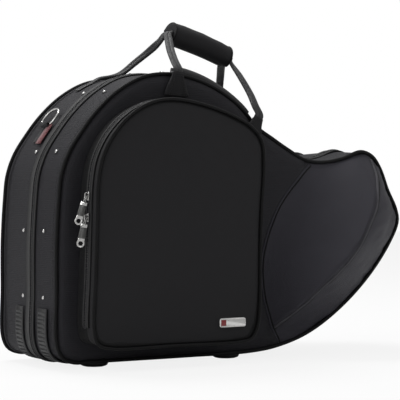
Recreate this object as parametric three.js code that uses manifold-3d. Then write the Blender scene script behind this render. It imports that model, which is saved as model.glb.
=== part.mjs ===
// A soft-sided french horn case, standing on its feet with its bell end to the right.
// Two zipped shells are hinged along the flat bottom. The front one is the lid and carries
// a zipped pocket; both carry half of the top handle. Lengths are in millimetres and
// x runs towards the bell end, y towards the back and z up. y is zero where the shells meet.
import * as THREE from 'three';
import { mergeVertices } from 'three/addons/utils/BufferGeometryUtils.js';
import Module from 'manifold-3d';

const wasm = await Module();
wasm.setup();

// Driving sizes of the whole case
const caseLength = 630;
const caseHeight = 428;
const lidDepth = 75;
const baseDepth = 108;
const wallDraft = 4;
const shellWall = 10;
const lidPanelRise = 9;
const basePanelRise = 9;
const lidBellRise = 86;
const baseBellRise = 67;

// Clearances
const fitGap = 0.3;
const runningGap = 0.6;
const rimSetback = 0.8;
const cutOverrun = 5;

// The case seen from the front, clockwise from the bottom left, as shares of its length and height
const outlineShares = [
  [0.044, 0], [0.014, 0.019], [0, 0.065], [0, 0.234], [0, 0.397], [0.006, 0.556], [0.013, 0.643],
  [0.032, 0.717], [0.0635, 0.787], [0.102, 0.857], [0.151, 0.923], [0.206, 0.972], [0.251, 0.994],
  [0.317, 1], [0.386, 0.982], [0.452, 0.943], [0.511, 0.887], [0.556, 0.82], [0.603, 0.778],
  [0.654, 0.734], [0.705, 0.696], [0.76, 0.687], [0.825, 0.703], [0.8825, 0.73], [0.9175, 0.714],
  [0.943, 0.668], [0.968, 0.586], [0.994, 0.516], [1, 0.47], [0.975, 0.395], [0.91, 0.276],
  [0.819, 0.159], [0.714, 0.065], [0.622, 0.019], [0.54, 0.0022], [0.365, 0], [0.198, 0], [0.079, 0],
];
const bellSeamTopNumber = 20;
const rimSeamTopNumber = 24;
const bellSeamFootNumber = 33;
const stepsPerSpan = 2;

// The two seams of the bell end: across, up, and rise as a share of the panel's or the bell's rise
const bellSeamShares = [
  [0.686, 0.657, 0.9], [0.663, 0.619, 1], [0.622, 0.54, 1], [0.592, 0.467, 1], [0.57, 0.386, 1],
  [0.56, 0.294, 1], [0.562, 0.222, 1], [0.575, 0.147, 1],
];
const rimSeamShares = [
  [0.898, 0.678, 0.23], [0.8825, 0.633, 0.47], [0.862, 0.584, 0.67], [0.84, 0.528, 0.84],
  [0.808, 0.458, 0.95], [0.778, 0.4, 1], [0.735, 0.339, 0.98], [0.69, 0.266, 0.86],
  [0.656, 0.199, 0.65], [0.624, 0.143, 0.4],
];
const seamMeetingShare = [0.595, 0.082];
const panelCentreShare = [0.317, 0.49];
const panelShoulderShare = 0.975;
const panelPlateauShare = 0.93;
const shoulderRiseShare = 0.62;
const flareShape = 1.3;
const capShape = 1.5;
const capRowShares = [0.25, 0.5, 0.75];
const seamSteps = 12;
const tailSteps = 2;

// Colours of the finishes
const colours = {
  ballistic: 0x1b1b1d, smooth: 0x17171a, webbing: 0x202022, plush: 0x26272b, foam: 0x303136,
  rubber: 0x141414, nickel: 0xb8b6b0, piping: 0x101011, red: 0x9c1c22, tape: 0x151516,
};

function finish(colour, roughness, metalness = 0) {
  return new THREE.MeshStandardMaterial({ color: colour, roughness, metalness });
}

// A mesh under construction: points, and faces that point out of the solid
class Skin {
  constructor() {
    this.points = [];
    this.faces = [];
  }

  add(x, y, z) {
    this.points.push(x, y, z);
    return this.points.length / 3 - 1;
  }

  face(a, b, c, turned) {
    if (a === b || b === c || c === a) return;
    this.faces.push(...(turned ? [a, c, b] : [a, b, c]));
  }

  // Joins two rows of points, the first on the left of the way along them
  stitch(left, right, turned = false) {
    const leftSpans = left.length - 1;
    const rightSpans = right.length - 1;
    let i = 0;
    let j = 0;
    while (i < leftSpans || j < rightSpans) {
      if (j === rightSpans || (i < leftSpans && (i + 1) * rightSpans <= (j + 1) * leftSpans)) {
        this.face(left[i], right[j], left[i + 1], turned);
        i += 1;
      } else {
        this.face(left[i], right[j], right[j + 1], turned);
        j += 1;
      }
    }
  }

  geometry() {
    const geometry = new THREE.BufferGeometry();
    geometry.setAttribute('position', new THREE.Float32BufferAttribute(this.points, 3));
    geometry.setIndex(this.faces);
    return outward(geometry);
  }
}

// Six times the volume inside a closed mesh, negative when its faces point in
function signedVolume(geometry) {
  const position = geometry.getAttribute('position');
  const index = geometry.getIndex();
  const corner = (k) => new THREE.Vector3().fromBufferAttribute(position, index.getX(k));
  let sum = 0;
  for (let k = 0; k < index.count; k += 3) {
    sum += corner(k).dot(corner(k + 1).cross(corner(k + 2)));
  }
  return sum;
}

function outward(geometry) {
  if (signedVolume(geometry) < 0) {
    const faces = geometry.getIndex().array;
    for (let k = 0; k < faces.length; k += 3) {
      [faces[k + 1], faces[k + 2]] = [faces[k + 2], faces[k + 1]];
    }
  }
  return geometry;
}

// The faces that close a ring of points, in the ring's own order
function capFaces(ring) {
  const normal = new THREE.Vector3();
  ring.forEach((point, k) => normal.add(point.clone().cross(ring[(k + 1) % ring.length])));
  normal.normalize();
  const across = ring[1].clone().sub(ring[0]);
  across.addScaledVector(normal, -across.dot(normal)).normalize();
  const up = normal.clone().cross(across);
  const flat = ring.map((point) => new THREE.Vector2(point.dot(across), point.dot(up)));
  return THREE.ShapeUtils.triangulateShape(flat, []).map(([a, b, c]) => {
    const turn = flat[b].clone().sub(flat[a]).cross(flat[c].clone().sub(flat[a]));
    return turn < 0 ? [a, c, b] : [a, b, c];
  });
}

// A solid through a row of rings, closed by caps or joined end to end
function loft(rings, loop = false) {
  const skin = new Skin();
  const rows = rings.map((ring) => ring.map((point) => skin.add(point.x, point.y, point.z)));
  const closed = (row) => [...row, row[0]];
  for (let k = 0; k + 1 < rows.length; k += 1) skin.stitch(closed(rows[k + 1]), closed(rows[k]));
  if (loop) {
    skin.stitch(closed(rows[0]), closed(rows[rows.length - 1]));
  } else {
    const last = rows.length - 1;
    capFaces(rings[0]).forEach(([a, b, c]) => skin.face(rows[0][a], rows[0][b], rows[0][c], true));
    capFaces(rings[last]).forEach(([a, b, c]) => skin.face(rows[last][a], rows[last][b], rows[last][c]));
  }
  return skin.geometry();
}

// Cutting and joining
function solidOf(geometry) {
  const bare = geometry.clone();
  bare.deleteAttribute('normal');
  bare.deleteAttribute('uv');
  const merged = mergeVertices(bare);
  return new wasm.Manifold(new wasm.Mesh({
    numProp: 3,
    vertProperties: new Float32Array(merged.getAttribute('position').array),
    triVerts: new Uint32Array(merged.getIndex().array),
  }));
}

function geometryOf(solid) {
  const mesh = solid.getMesh();
  const geometry = new THREE.BufferGeometry();
  geometry.setAttribute('position', new THREE.BufferAttribute(new Float32Array(mesh.vertProperties), 3));
  geometry.setIndex(new THREE.BufferAttribute(new Uint32Array(mesh.triVerts), 1));
  return geometry;
}

function joined(...geometries) {
  return geometryOf(geometries.map(solidOf).reduce((whole, piece) => whole.add(piece)));
}

function cut(geometry, ...tools) {
  return geometryOf(tools.map(solidOf).reduce((whole, tool) => whole.subtract(tool), solidOf(geometry)));
}

function common(geometry, tool) {
  return geometryOf(solidOf(geometry).intersect(solidOf(tool)));
}

// Closed curves in the plane of the front, with across in x and up in y
function closedCurve(shares, length, height, left = 0, bottom = 0) {
  const points = shares.map(([across, up]) => (
    new THREE.Vector3(left + across * length, bottom + up * height, 0)
  ));
  const curve = new THREE.CatmullRomCurve3(points, true, 'centripetal');
  curve.count = points.length * stepsPerSpan;
  return curve;
}

// A point beside a curve: the offset is outwards, and a share of one is a full turn
function beside(curve, share, offset) {
  const turn = share - Math.floor(share);
  const point = curve.getPoint(turn);
  const along = curve.getTangent(turn);
  return new THREE.Vector3(point.x - along.y * offset, point.y + along.x * offset, 0);
}

function ringBeside(curve, offset) {
  return Array.from({ length: curve.count }, (_, k) => beside(curve, k / curve.count, offset));
}

const outline = closedCurve(outlineShares, caseLength, caseHeight);
const spanShare = 1 / outlineShares.length;

const lidHalf = { side: -1, depth: lidDepth, panelRise: lidPanelRise, bellRise: lidBellRise };
const baseHalf = { side: 1, depth: baseDepth, panelRise: basePanelRise, bellRise: baseBellRise };

function halfAt(y) {
  return y < 0 ? lidHalf : baseHalf;
}

// How far the drafted side wall stands out of the outline at a depth
function wallOut(y) {
  return wallDraft * (1 - Math.abs(y) / halfAt(y).depth);
}

// The panel, bell flare and end cap of one half, inset from the outer fabric
function addFace(skin, half, inset, turned) {
  const { side, depth, panelRise, bellRise } = half;
  const place = (point) => skin.add(point.x, side * (depth + point.z - inset), point.y);
  const edge = ringBeside(outline, -inset);
  const ring = edge.map(place);
  const topIndex = bellSeamTopNumber * stepsPerSpan;
  const rimIndex = rimSeamTopNumber * stepsPerSpan;
  const footIndex = bellSeamFootNumber * stepsPerSpan;

  const meeting = new THREE.Vector3(
    seamMeetingShare[0] * caseLength, seamMeetingShare[1] * caseHeight, panelRise,
  );
  meeting.add(edge[footIndex]).sub(beside(outline, footIndex / outline.count, 0));
  const seam = (start, shares, rise) => {
    const between = shares.map(([across, up, share]) => (
      new THREE.Vector3(across * caseLength, up * caseHeight, share * rise)
    ));
    return new THREE.CatmullRomCurve3([start, ...between, meeting], false, 'centripetal')
      .getPoints(seamSteps);
  };
  const bellSeam = seam(edge[topIndex], bellSeamShares, panelRise);
  const rimSeam = seam(edge[rimIndex], rimSeamShares, bellRise);
  const tail = [];
  for (let k = 1; k < tailSteps; k += 1) {
    tail.push(meeting.clone().lerp(edge[footIndex], k / tailSteps));
  }
  const meetingPoint = place(meeting);
  const tailRow = tail.map(place);
  const interior = (points) => points.slice(1, -1).map(place);
  const bellRow = [ring[topIndex], ...interior(bellSeam), meetingPoint];
  const rimRow = [ring[rimIndex], ...interior(rimSeam), meetingPoint];

  // Panel: rings from the border to a flat middle
  const border = [...edge.slice(footIndex), ...edge.slice(0, topIndex + 1),
    ...bellSeam.slice(1), ...tail];
  let row = [...ring.slice(footIndex), ...ring.slice(0, topIndex + 1), ...bellRow.slice(1), ...tailRow];
  const middle = new THREE.Vector3(
    panelCentreShare[0] * caseLength, panelCentreShare[1] * caseHeight, panelRise,
  );
  const shrink = (share, riseShare) => border.map((point) => {
    const inner = middle.clone().lerp(point, share);
    inner.z = THREE.MathUtils.lerp(point.z, panelRise, riseShare);
    return place(inner);
  });
  [[panelShoulderShare, shoulderRiseShare], [panelPlateauShare, 1]].forEach(([share, riseShare]) => {
    const next = shrink(share, riseShare);
    skin.stitch([...row, row[0]], [...next, next[0]], turned);
    row = next;
  });
  const centre = place(middle);
  row.forEach((point, k) => skin.face(point, centre, row[(k + 1) % row.length], turned));

  // Flare: rows from the bell seam to the rim seam, each starting on the outline
  const flareRows = rimIndex - topIndex;
  row = bellRow;
  for (let j = 1; j <= flareRows; j += 1) {
    const share = j / flareRows;
    const start = edge[topIndex + j];
    const shift = start.clone().sub(edge[topIndex].clone().lerp(edge[rimIndex], share));
    const next = j === flareRows ? rimRow : bellSeam.map((point, k) => {
      if (k === 0) return ring[topIndex + j];
      if (k === seamSteps) return meetingPoint;
      const spot = point.clone().lerp(rimSeam[k], share);
      spot.addScaledVector(shift, (1 - k / seamSteps) ** 2);
      spot.z = point.z + (rimSeam[k].z - point.z) * share ** flareShape;
      return place(spot);
    });
    skin.stitch(next, row, turned);
    row = next;
  }

  // End cap: rows from the rim seam and its tail out to the outline
  const inner = [...rimSeam, ...tail, edge[footIndex]];
  row = [...rimRow, ...tailRow, ring[footIndex]];
  capRowShares.forEach((share) => {
    const next = inner.map((point, k) => {
      if (k === 0) return ring[rimIndex];
      if (k === inner.length - 1) return ring[footIndex];
      const number = rimSeamTopNumber + (bellSeamFootNumber - rimSeamTopNumber) * k / (inner.length - 1);
      const turn = number * spanShare;
      const spot = point.clone().lerp(beside(outline, turn, -inset), share);
      spot.z = point.z * (1 - share ** capShape);
      return place(spot);
    });
    skin.stitch(next, row, turned);
    row = next;
  });
  skin.stitch(ring.slice(rimIndex, footIndex + 1), row, turned);
  return ring;
}

// The outline at the depth where the two halves meet
function addRim(skin, half, inset, setback) {
  const y = half.side * setback;
  return ringBeside(outline, wallOut(y) - inset).map((point) => skin.add(point.x, y, point.y));
}

// A hollow half of the case, open where the halves meet
function hollowHalf(half, inset, wall, setback) {
  const skin = new Skin();
  const closed = (row) => [...row, row[0]];
  const outerFace = addFace(skin, half, inset, false);
  const outerRim = addRim(skin, half, inset, setback);
  const innerRim = addRim(skin, half, inset + wall, setback);
  const innerFace = addFace(skin, half, inset + wall, true);
  skin.stitch(closed(outerRim), closed(outerFace));
  skin.stitch(closed(innerRim), closed(outerRim));
  skin.stitch(closed(innerFace), closed(innerRim));
  return skin.geometry();
}

// The space inside a half, as a closed solid
function spaceInside(half, inset, setback) {
  const skin = new Skin();
  const face = addFace(skin, half, inset, false);
  const rim = addRim(skin, half, inset, setback);
  skin.stitch([...rim, rim[0]], [...face, face[0]]);
  const flat = ringBeside(outline, wallOut(half.side * setback) - inset);
  const plan = flat.map((point) => new THREE.Vector2(point.x, point.y));
  THREE.ShapeUtils.triangulateShape(plan, []).forEach(([a, b, c]) => {
    const turn = plan[b].clone().sub(plan[a]).cross(plan[c].clone().sub(plan[a]));
    skin.face(rim[a], rim[b], rim[c], turn > 0);
  });
  return skin.geometry();
}

const horncase = new THREE.Group();
const base = new THREE.Group();
const lid = new THREE.Group();
horncase.add(base, lid);

function addPart(group, name, geometry, material) {
  const mesh = new THREE.Mesh(geometry, material);
  mesh.name = name;
  group.add(mesh);
  return mesh;
}

// Shells: foam-cored fabric, and a plush lining glued inside each
const liningGap = fitGap;
const liningThickness = 2.5;
const ballisticFinish = finish(colours.ballistic, 0.85);
const plushFinish = finish(colours.plush, 0.95);

[[lidHalf, lid, 'front'], [baseHalf, base, 'back']].forEach(([half, group, word]) => {
  addPart(group, `${word}_shell`, hollowHalf(half, 0, shellWall, rimSetback), ballisticFinish);
  const lining = hollowHalf(half, shellWall + liningGap, liningThickness, rimSetback);
  addPart(group, `${word}_lining`, lining, plushFinish);
});

// A point on a faceted wall: numbers count the points of the curve, and the offset is outwards
function onFacets(curve, number, offset) {
  const turn = number * stepsPerSpan;
  const low = Math.floor(turn);
  const start = beside(curve, low / curve.count, offset);
  return start.lerp(beside(curve, (low + 1) / curve.count, offset), turn - low);
}

// The numbers from one place to another, with every facet corner between them
function facetStops(from, to) {
  const stops = [from];
  const step = 1 / stepsPerSpan;
  for (let n = Math.floor(from / step + 1) * step; n < to; n += step) stops.push(n);
  return [...stops, to];
}

const wallOf = { curve: outline, out: wallOut };

// A ribbon along a wall, with its section given as depths and lifts
function ribbon(wall, stops, sections) {
  return loft(stops.map((number, k) => (
    (typeof sections === 'function' ? sections(k) : sections).map(([y, lift]) => {
      const spot = onFacets(wall.curve, number, wall.out(y) + lift);
      return new THREE.Vector3(spot.x, y, spot.y);
    })
  )));
}

// The frame of a place on a wall: x along it, y to the back, z outwards
function wallFrame(wall, number, y, lift) {
  const reach = 0.01;
  const spot = onFacets(wall.curve, number, wall.out(y) + lift);
  const ahead = onFacets(wall.curve, number + reach, wall.out(y) + lift);
  const along = new THREE.Vector3(ahead.x - spot.x, 0, ahead.y - spot.y).normalize();
  const back = new THREE.Vector3(0, 1, 0);
  const matrix = new THREE.Matrix4().makeBasis(along, back, along.clone().cross(back));
  return matrix.setPosition(spot.x, y, spot.y);
}

function placed(mesh, matrix) {
  mesh.applyMatrix4(matrix);
  return mesh;
}

// A turned piece about the z axis, from a profile of radii and heights
function turned(profile, segments) {
  const lathe = new THREE.LatheGeometry(profile.map(([r, z]) => new THREE.Vector2(r, z)), segments);
  lathe.rotateX(Math.PI / 2);
  lathe.deleteAttribute('normal');
  lathe.deleteAttribute('uv');
  const merged = mergeVertices(lathe);
  merged.setIndex(withoutFlatFaces(merged));
  return outward(merged);
}

function withoutFlatFaces(geometry) {
  const index = Array.from(geometry.getIndex().array);
  const kept = [];
  for (let k = 0; k < index.length; k += 3) {
    const [a, b, c] = index.slice(k, k + 3);
    if (a !== b && b !== c && c !== a) kept.push(a, b, c);
  }
  return kept;
}

// An outline in x and z, extruded along y about its middle
function slab(outlinePoints, width, holes = []) {
  const shape = new THREE.Shape(outlinePoints.map(([x, z]) => new THREE.Vector2(x, z)));
  shape.holes = holes;
  const geometry = new THREE.ExtrudeGeometry(shape, { depth: width, bevelEnabled: false, curveSegments: 6 });
  geometry.rotateX(Math.PI / 2).translate(0, width / 2, 0);
  geometry.deleteAttribute('normal');
  geometry.deleteAttribute('uv');
  return outward(mergeVertices(geometry));
}

function rectangle(left, right, low, high) {
  return [[left, low], [right, low], [right, high], [left, high]];
}

// Piping: a welt along the front and back borders
const pipingRadius = 2.5;
const pipingSides = 6;
const pipingFinish = finish(colours.piping, 0.6);

function pipingAlong(curve, depth, radius) {
  const out = (radius + fitGap) / Math.SQRT2;
  const rings = Array.from({ length: curve.count }, (_, k) => (
    Array.from({ length: pipingSides }, (_unused, j) => {
      const turn = 2 * Math.PI * j / pipingSides;
      const spot = beside(curve, k / curve.count, out + radius * Math.cos(turn));
      const y = Math.sign(depth) * (Math.abs(depth) + out + radius * Math.sin(turn));
      return new THREE.Vector3(spot.x, y, spot.y);
    })
  ));
  return loft(rings, true);
}

addPart(lid, 'front_piping', pipingAlong(outline, -lidDepth, pipingRadius), pipingFinish);
addPart(base, 'back_piping', pipingAlong(outline, baseDepth, pipingRadius), pipingFinish);

// Main zipper: a tape with its row of teeth on each half, and the fabric hinge below
const lidTapeWidth = 9;
const baseTapeWidth = 17;
const tapeThickness = 1.1;
const toothWidth = 3;
const toothHeight = 2.4;
const hingeTapeWidth = 13;
const hingeTapeThickness = 1.4;
const zipperNumbers = [37, 71.8];
const hingeNumbers = [34, 36.8];
const tapeFinish = finish(colours.tape, 0.8);

function tapeSection(side, inner, width) {
  const top = fitGap + tapeThickness;
  return [
    [side * (inner + width), fitGap], [side * inner, fitGap], [side * inner, fitGap + toothHeight],
    [side * (inner + toothWidth), fitGap + toothHeight], [side * (inner + toothWidth), top],
    [side * (inner + width), top],
  ];
}

const zipperStops = facetStops(...zipperNumbers);
const lidTape = ribbon(wallOf, zipperStops, tapeSection(-1, fitGap, lidTapeWidth - fitGap));
const baseTape = ribbon(wallOf, zipperStops, tapeSection(1, fitGap, baseTapeWidth - fitGap));
addPart(lid, 'front_zipper_tape', lidTape, tapeFinish);
addPart(base, 'back_zipper_tape', baseTape, tapeFinish);

function hingeSection(side) {
  const edge = side * hingeTapeWidth;
  const top = fitGap + hingeTapeThickness;
  return [[edge, fitGap], [side * fitGap, fitGap], [side * fitGap, top], [edge, top]];
}

const hingeStops = facetStops(...hingeNumbers);
const webbingFinish = finish(colours.webbing, 0.85);
addPart(lid, 'front_hinge_tape', ribbon(wallOf, hingeStops, hingeSection(-1)), webbingFinish);
addPart(base, 'back_hinge_tape', ribbon(wallOf, hingeStops, hingeSection(1)), webbingFinish);

// Feet: domed rubber glides screwed to the bottom walls
const footRadius = 22;
const footDrop = 13;
const footSoleRadius = 15;
const footShoulder = 4;
const footDepth = 40;
const footShares = [['left', 0.127], ['right', 0.502]];
const footSegments = 16;
const rubberFinish = finish(colours.rubber, 0.7);

function footAt(x, y) {
  const slope = -Math.sign(y) * wallDraft / halfAt(y).depth;
  const seat = -wallOut(y) - fitGap;
  const foot = turned([
    [0, -footDrop], [footSoleRadius, -footDrop],
    [footRadius - footShoulder / 2, -footDrop + footShoulder / 2],
    [footRadius, -footDrop + footShoulder], [footRadius, seat], [0, seat],
  ], footSegments);
  const position = foot.getAttribute('position');
  for (let k = 0; k < position.count; k += 1) {
    if (position.getZ(k) > seat - fitGap) position.setZ(k, seat - slope * position.getY(k));
  }
  return foot.translate(x, y, 0);
}

footShares.forEach(([word, share]) => {
  addPart(lid, `front_foot_${word}`, footAt(share * caseLength, -footDepth), rubberFinish);
  addPart(base, `back_foot_${word}`, footAt(share * caseLength, footDepth), rubberFinish);
});

// Bumpers: ribbed rubber strips round the bottom left corner and over the arch
const ribPitch = 8;
const ribHeight = 1.6;
const cornerBumperThickness = 2;
const topBumperThickness = 5;
const cornerBumperDepths = { front: [-50, -21], back: [27, 52] };
const topBumperInset = 3;
const topBumperWidth = 25;
const topBumperDepths = {
  front: [topBumperInset - lidDepth, topBumperInset + topBumperWidth - lidDepth],
  back: [baseDepth - topBumperInset - topBumperWidth, baseDepth - topBumperInset],
};
const cornerBumperNumbers = [37, 40.74];
const topBumperNumbers = [13.4, 16.4];

function bumper([low, high], numbers, thickness) {
  const corners = facetStops(...numbers);
  const stops = [];
  corners.slice(0, -1).forEach((number, k) => {
    const next = corners[k + 1];
    const span = onFacets(outline, next, 0).distanceTo(onFacets(outline, number, 0));
    const ribs = Math.max(1, Math.round(span / ribPitch)) * 2;
    for (let j = 0; j < ribs; j += 1) stops.push(number + (next - number) * j / ribs);
  });
  stops.push(corners[corners.length - 1]);
  return ribbon(wallOf, stops, (k) => {
    const top = fitGap + thickness + (k % 2) * ribHeight;
    return [[low, fitGap], [high, fitGap], [high, top], [low, top]];
  });
}

[[lid, 'front'], [base, 'back']].forEach(([group, word]) => {
  const corner = bumper(cornerBumperDepths[word], cornerBumperNumbers, cornerBumperThickness);
  const top = bumper(topBumperDepths[word], topBumperNumbers, topBumperThickness);
  addPart(group, `${word}_corner_bumper`, corner, rubberFinish);
  addPart(group, `${word}_top_bumper`, top, rubberFinish);
});

// Rivets: small nickel domes along the side walls
const rivetRadius = 4;
const rivetRise = 2.4;
const rivetSegments = 8;
const lidRivetDepth = -35;
const baseRivetDepth = 31;
const rivetNumbers = [2.9, 4.31, 7.07, 10.2];
const nickelFinish = finish(colours.nickel, 0.3, 1);
const rivetShape = turned([
  [0, 0], [rivetRadius, 0], [rivetRadius * 0.75, rivetRise * 0.7], [0, rivetRise],
], rivetSegments);

rivetNumbers.forEach((number, k) => {
  const front = addPart(lid, `front_rivet_${k + 1}`, rivetShape.clone(), nickelFinish);
  placed(front, wallFrame(wallOf, number, lidRivetDepth, fitGap));
  const back = addPart(base, `back_rivet_${k + 1}`, rivetShape.clone(), nickelFinish);
  placed(back, wallFrame(wallOf, number, baseRivetDepth, fitGap));
});

// A band all the way round a wall
function bandRound(wall, section) {
  return loft(Array.from({ length: wall.curve.count }, (_, k) => section.map(([y, lift]) => {
    const spot = beside(wall.curve, k / wall.curve.count, wall.out(y) + lift);
    return new THREE.Vector3(spot.x, y, spot.y);
  })), true);
}

// Front pocket: a gusset on the front panel and a door zipped to it, hinged along its bottom
const pocketLength = 293;
const pocketHeight = 362;
const pocketLeft = 28;
const pocketBottom = 24;
const pocketShares = [
  [0.082, 0.003], [0.02, 0.022], [0, 0.077], [0.008, 0.265], [0.017, 0.486], [0.024, 0.657],
  [0.048, 0.757], [0.109, 0.851], [0.205, 0.931], [0.321, 0.983], [0.444, 1], [0.604, 0.986],
  [0.778, 0.948], [0.928, 0.892], [0.986, 0.837], [1, 0.751], [0.986, 0.569], [0.976, 0.348],
  [0.973, 0.155], [0.959, 0.058], [0.922, 0.011], [0.853, 0], [0.468, 0],
];
const pocketCentreShares = [0.48, 0.47];
const gussetDepth = 28;
const doorDepth = 25;
const doorCrown = 3;
const doorCrownShare = 0.9;
const pocketWall = 3;
const pocketTapeWidth = 8.5;
const pocketPipingRadius = 2.2;
const pocketZipperNumbers = [2, 19];

const pocketCurve = closedCurve(pocketShares, pocketLength, pocketHeight, pocketLeft, pocketBottom);
const wallOfPocket = { curve: pocketCurve, out: () => 0 };
const panelPlane = -(lidDepth + lidPanelRise);
const gussetFoot = panelPlane - fitGap;
const gussetFront = gussetFoot - gussetDepth;
const doorFoot = gussetFront - runningGap;
const doorFront = doorFoot - doorDepth;
const smoothFinish = finish(colours.smooth, 0.75);

const gusset = bandRound(wallOfPocket, [
  [gussetFoot, 0], [gussetFront, 0], [gussetFront, -pocketWall], [gussetFoot, -pocketWall],
]);
addPart(lid, 'pocket_gusset', gusset, ballisticFinish);

function pocketDoor() {
  const skin = new Skin();
  const [middleX, middleZ] = [
    pocketLeft + pocketCentreShares[0] * pocketLength,
    pocketBottom + pocketCentreShares[1] * pocketHeight,
  ];
  const rowAt = (offset, y, share = 1) => ringBeside(pocketCurve, offset).map((point) => skin.add(
    THREE.MathUtils.lerp(middleX, point.x, share), y, THREE.MathUtils.lerp(middleZ, point.y, share),
  ));
  const closed = (row) => [...row, row[0]];
  const crown = doorFront - doorCrown;
  const rows = [
    rowAt(0, crown, doorCrownShare), rowAt(0, doorFront), rowAt(0, doorFoot), rowAt(-pocketWall, doorFoot),
    rowAt(-pocketWall, doorFront + pocketWall), rowAt(-pocketWall, crown + pocketWall, doorCrownShare),
  ];
  for (let k = 0; k + 1 < rows.length; k += 1) skin.stitch(closed(rows[k + 1]), closed(rows[k]));
  [[rows[0], crown, false], [rows[rows.length - 1], crown + pocketWall, true]].forEach(([row, y, flip]) => {
    const centre = skin.add(middleX, y, middleZ);
    row.forEach((point, k) => skin.face(point, centre, row[(k + 1) % row.length], flip));
  });
  return skin.geometry();
}

addPart(lid, 'pocket_door', pocketDoor(), smoothFinish);
addPart(lid, 'pocket_piping', pipingAlong(pocketCurve, doorFront, pocketPipingRadius), pipingFinish);

const pocketStops = facetStops(...pocketZipperNumbers);
[['pocket_gusset_tape', 1, gussetFront], ['pocket_door_tape', -1, doorFoot]].forEach(([name, side, edge]) => {
  const section = tapeSection(side, fitGap, pocketTapeWidth - fitGap)
    .map(([y, lift]) => [edge + y, lift]);
  addPart(lid, name, ribbon(wallOfPocket, pocketStops, section), tapeFinish);
});

// Badge: a plain nickel plate with a red field, low on the pocket door
const badgeLength = 47;
const badgeHeight = 14;
const badgeThickness = 1.6;
const badgeShares = [0.802, 0.078];
const badgeChamfer = 2;
const badgeX = pocketLeft + badgeShares[0] * pocketLength;
const badgeZ = pocketBottom + badgeShares[1] * pocketHeight;

function chamfered(length, height, corner) {
  const [x, z] = [length / 2, height / 2];
  return [
    [-x + corner, -z], [x - corner, -z], [x, -z + corner], [x, z - corner],
    [x - corner, z], [-x + corner, z], [-x, z - corner], [-x, -z + corner],
  ];
}

const badge = slab(chamfered(badgeLength, badgeHeight, badgeChamfer), badgeThickness)
  .translate(badgeX, doorFront - doorCrown - fitGap - badgeThickness / 2, badgeZ);
addPart(lid, 'badge', badge, nickelFinish);

// Zipper sliders: a plate over the teeth with a bridge that carries the pull
const sliderLength = 13;
const sliderWall = 1.2;
const bridgeLength = 10;
const bridgeWidth = 3;
const bridgeHeight = 4.6;
const bridgeWall = 1.6;
const pinRadius = 0.9;
const pinSegments = 8;
const sliderWidth = 10;
const sliderFloor = fitGap + toothHeight + runningGap;
const sliderTop = sliderFloor + sliderWall;
const pinLift = sliderTop + runningGap + pinRadius;

function sliderShape() {
  const plate = slab(chamfered(sliderLength, sliderWidth, sliderWall), sliderWall)
    .rotateX(Math.PI / 2).translate(0, 0, sliderFloor + sliderWall / 2);
  const half = bridgeLength / 2;
  const top = sliderTop + bridgeHeight;
  const bridge = slab([
    [-half, sliderFloor], [half, sliderFloor], [half, top - bridgeWall], [half - bridgeWall, top],
    [bridgeWall - half, top], [-half, top - bridgeWall],
  ], bridgeWidth);
  const eye = slab(
    rectangle(bridgeWall - half, half - bridgeWall, sliderTop, top - bridgeWall), sliderLength,
  );
  return joined(plate, cut(bridge, eye));
}

// Pulls: a flat tab with a slot at the bridge and a ring at its end, its pin at the origin
const pullThickness = 1.6;
const pullLinkWidth = 7.2;
const pullWidth = 10;
const pullSlotLength = 8;
const pullLinkLength = 11;
const pullRingRadius = 6;
const pullRingHole = 3.4;
const pullRingSegments = 14;
const pullLength = 44;
const mainPullLength = 34;
const pocketPullTwist = 0.9;

// The link stays level with its slider, and the tab beyond it is twisted about its length
function pullShape(length, twist) {
  const [half, end] = [pullLinkWidth / 2, -(length - pullRingRadius)];
  const slotHalf = bridgeWidth / 2 + runningGap;
  const link = slab(rectangle(-pullLinkLength, 0, -pullThickness / 2, pullThickness / 2), pullLinkWidth);
  const plate = slab(
    rectangle(end, pullThickness - pullLinkLength, -pullThickness / 2, pullThickness / 2), pullWidth,
  );
  const ring = turned([
    [0, -pullThickness / 2], [pullRingRadius, -pullThickness / 2],
    [pullRingRadius, pullThickness / 2], [0, pullThickness / 2],
  ], pullRingSegments).translate(end, 0, 0);
  const pin = turned([
    [0, -half], [pinRadius, -half], [pinRadius, half], [0, half],
  ], pinSegments).rotateX(Math.PI / 2);
  const slot = slab(rectangle(-pullSlotLength, -pinRadius, -pullLinkWidth, pullLinkWidth), 2 * slotHalf);
  const hole = turned([
    [0, -pullWidth], [pullRingHole, -pullWidth], [pullRingHole, pullWidth], [0, pullWidth],
  ], pullRingSegments).translate(end, 0, 0);
  const tab = cut(joined(plate, ring), hole).rotateX(twist);
  return joined(cut(link, slot), pin, tab);
}

function addSlider(group, words, wall, number, y, { length, turn, twist }) {
  const slider = addPart(group, `${words[0]}_slider${words[1]}`, sliderShape(), nickelFinish);
  placed(slider, wallFrame(wall, number, y, 0));
  const pull = addPart(group, `${words[0]}_pull${words[1]}`, pullShape(length, twist), nickelFinish);
  pull.rotation.y = turn;
  pull.position.z = pinLift;
  pull.updateMatrix();
  placed(pull, wallFrame(wall, number, y, 0));
}

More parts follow.
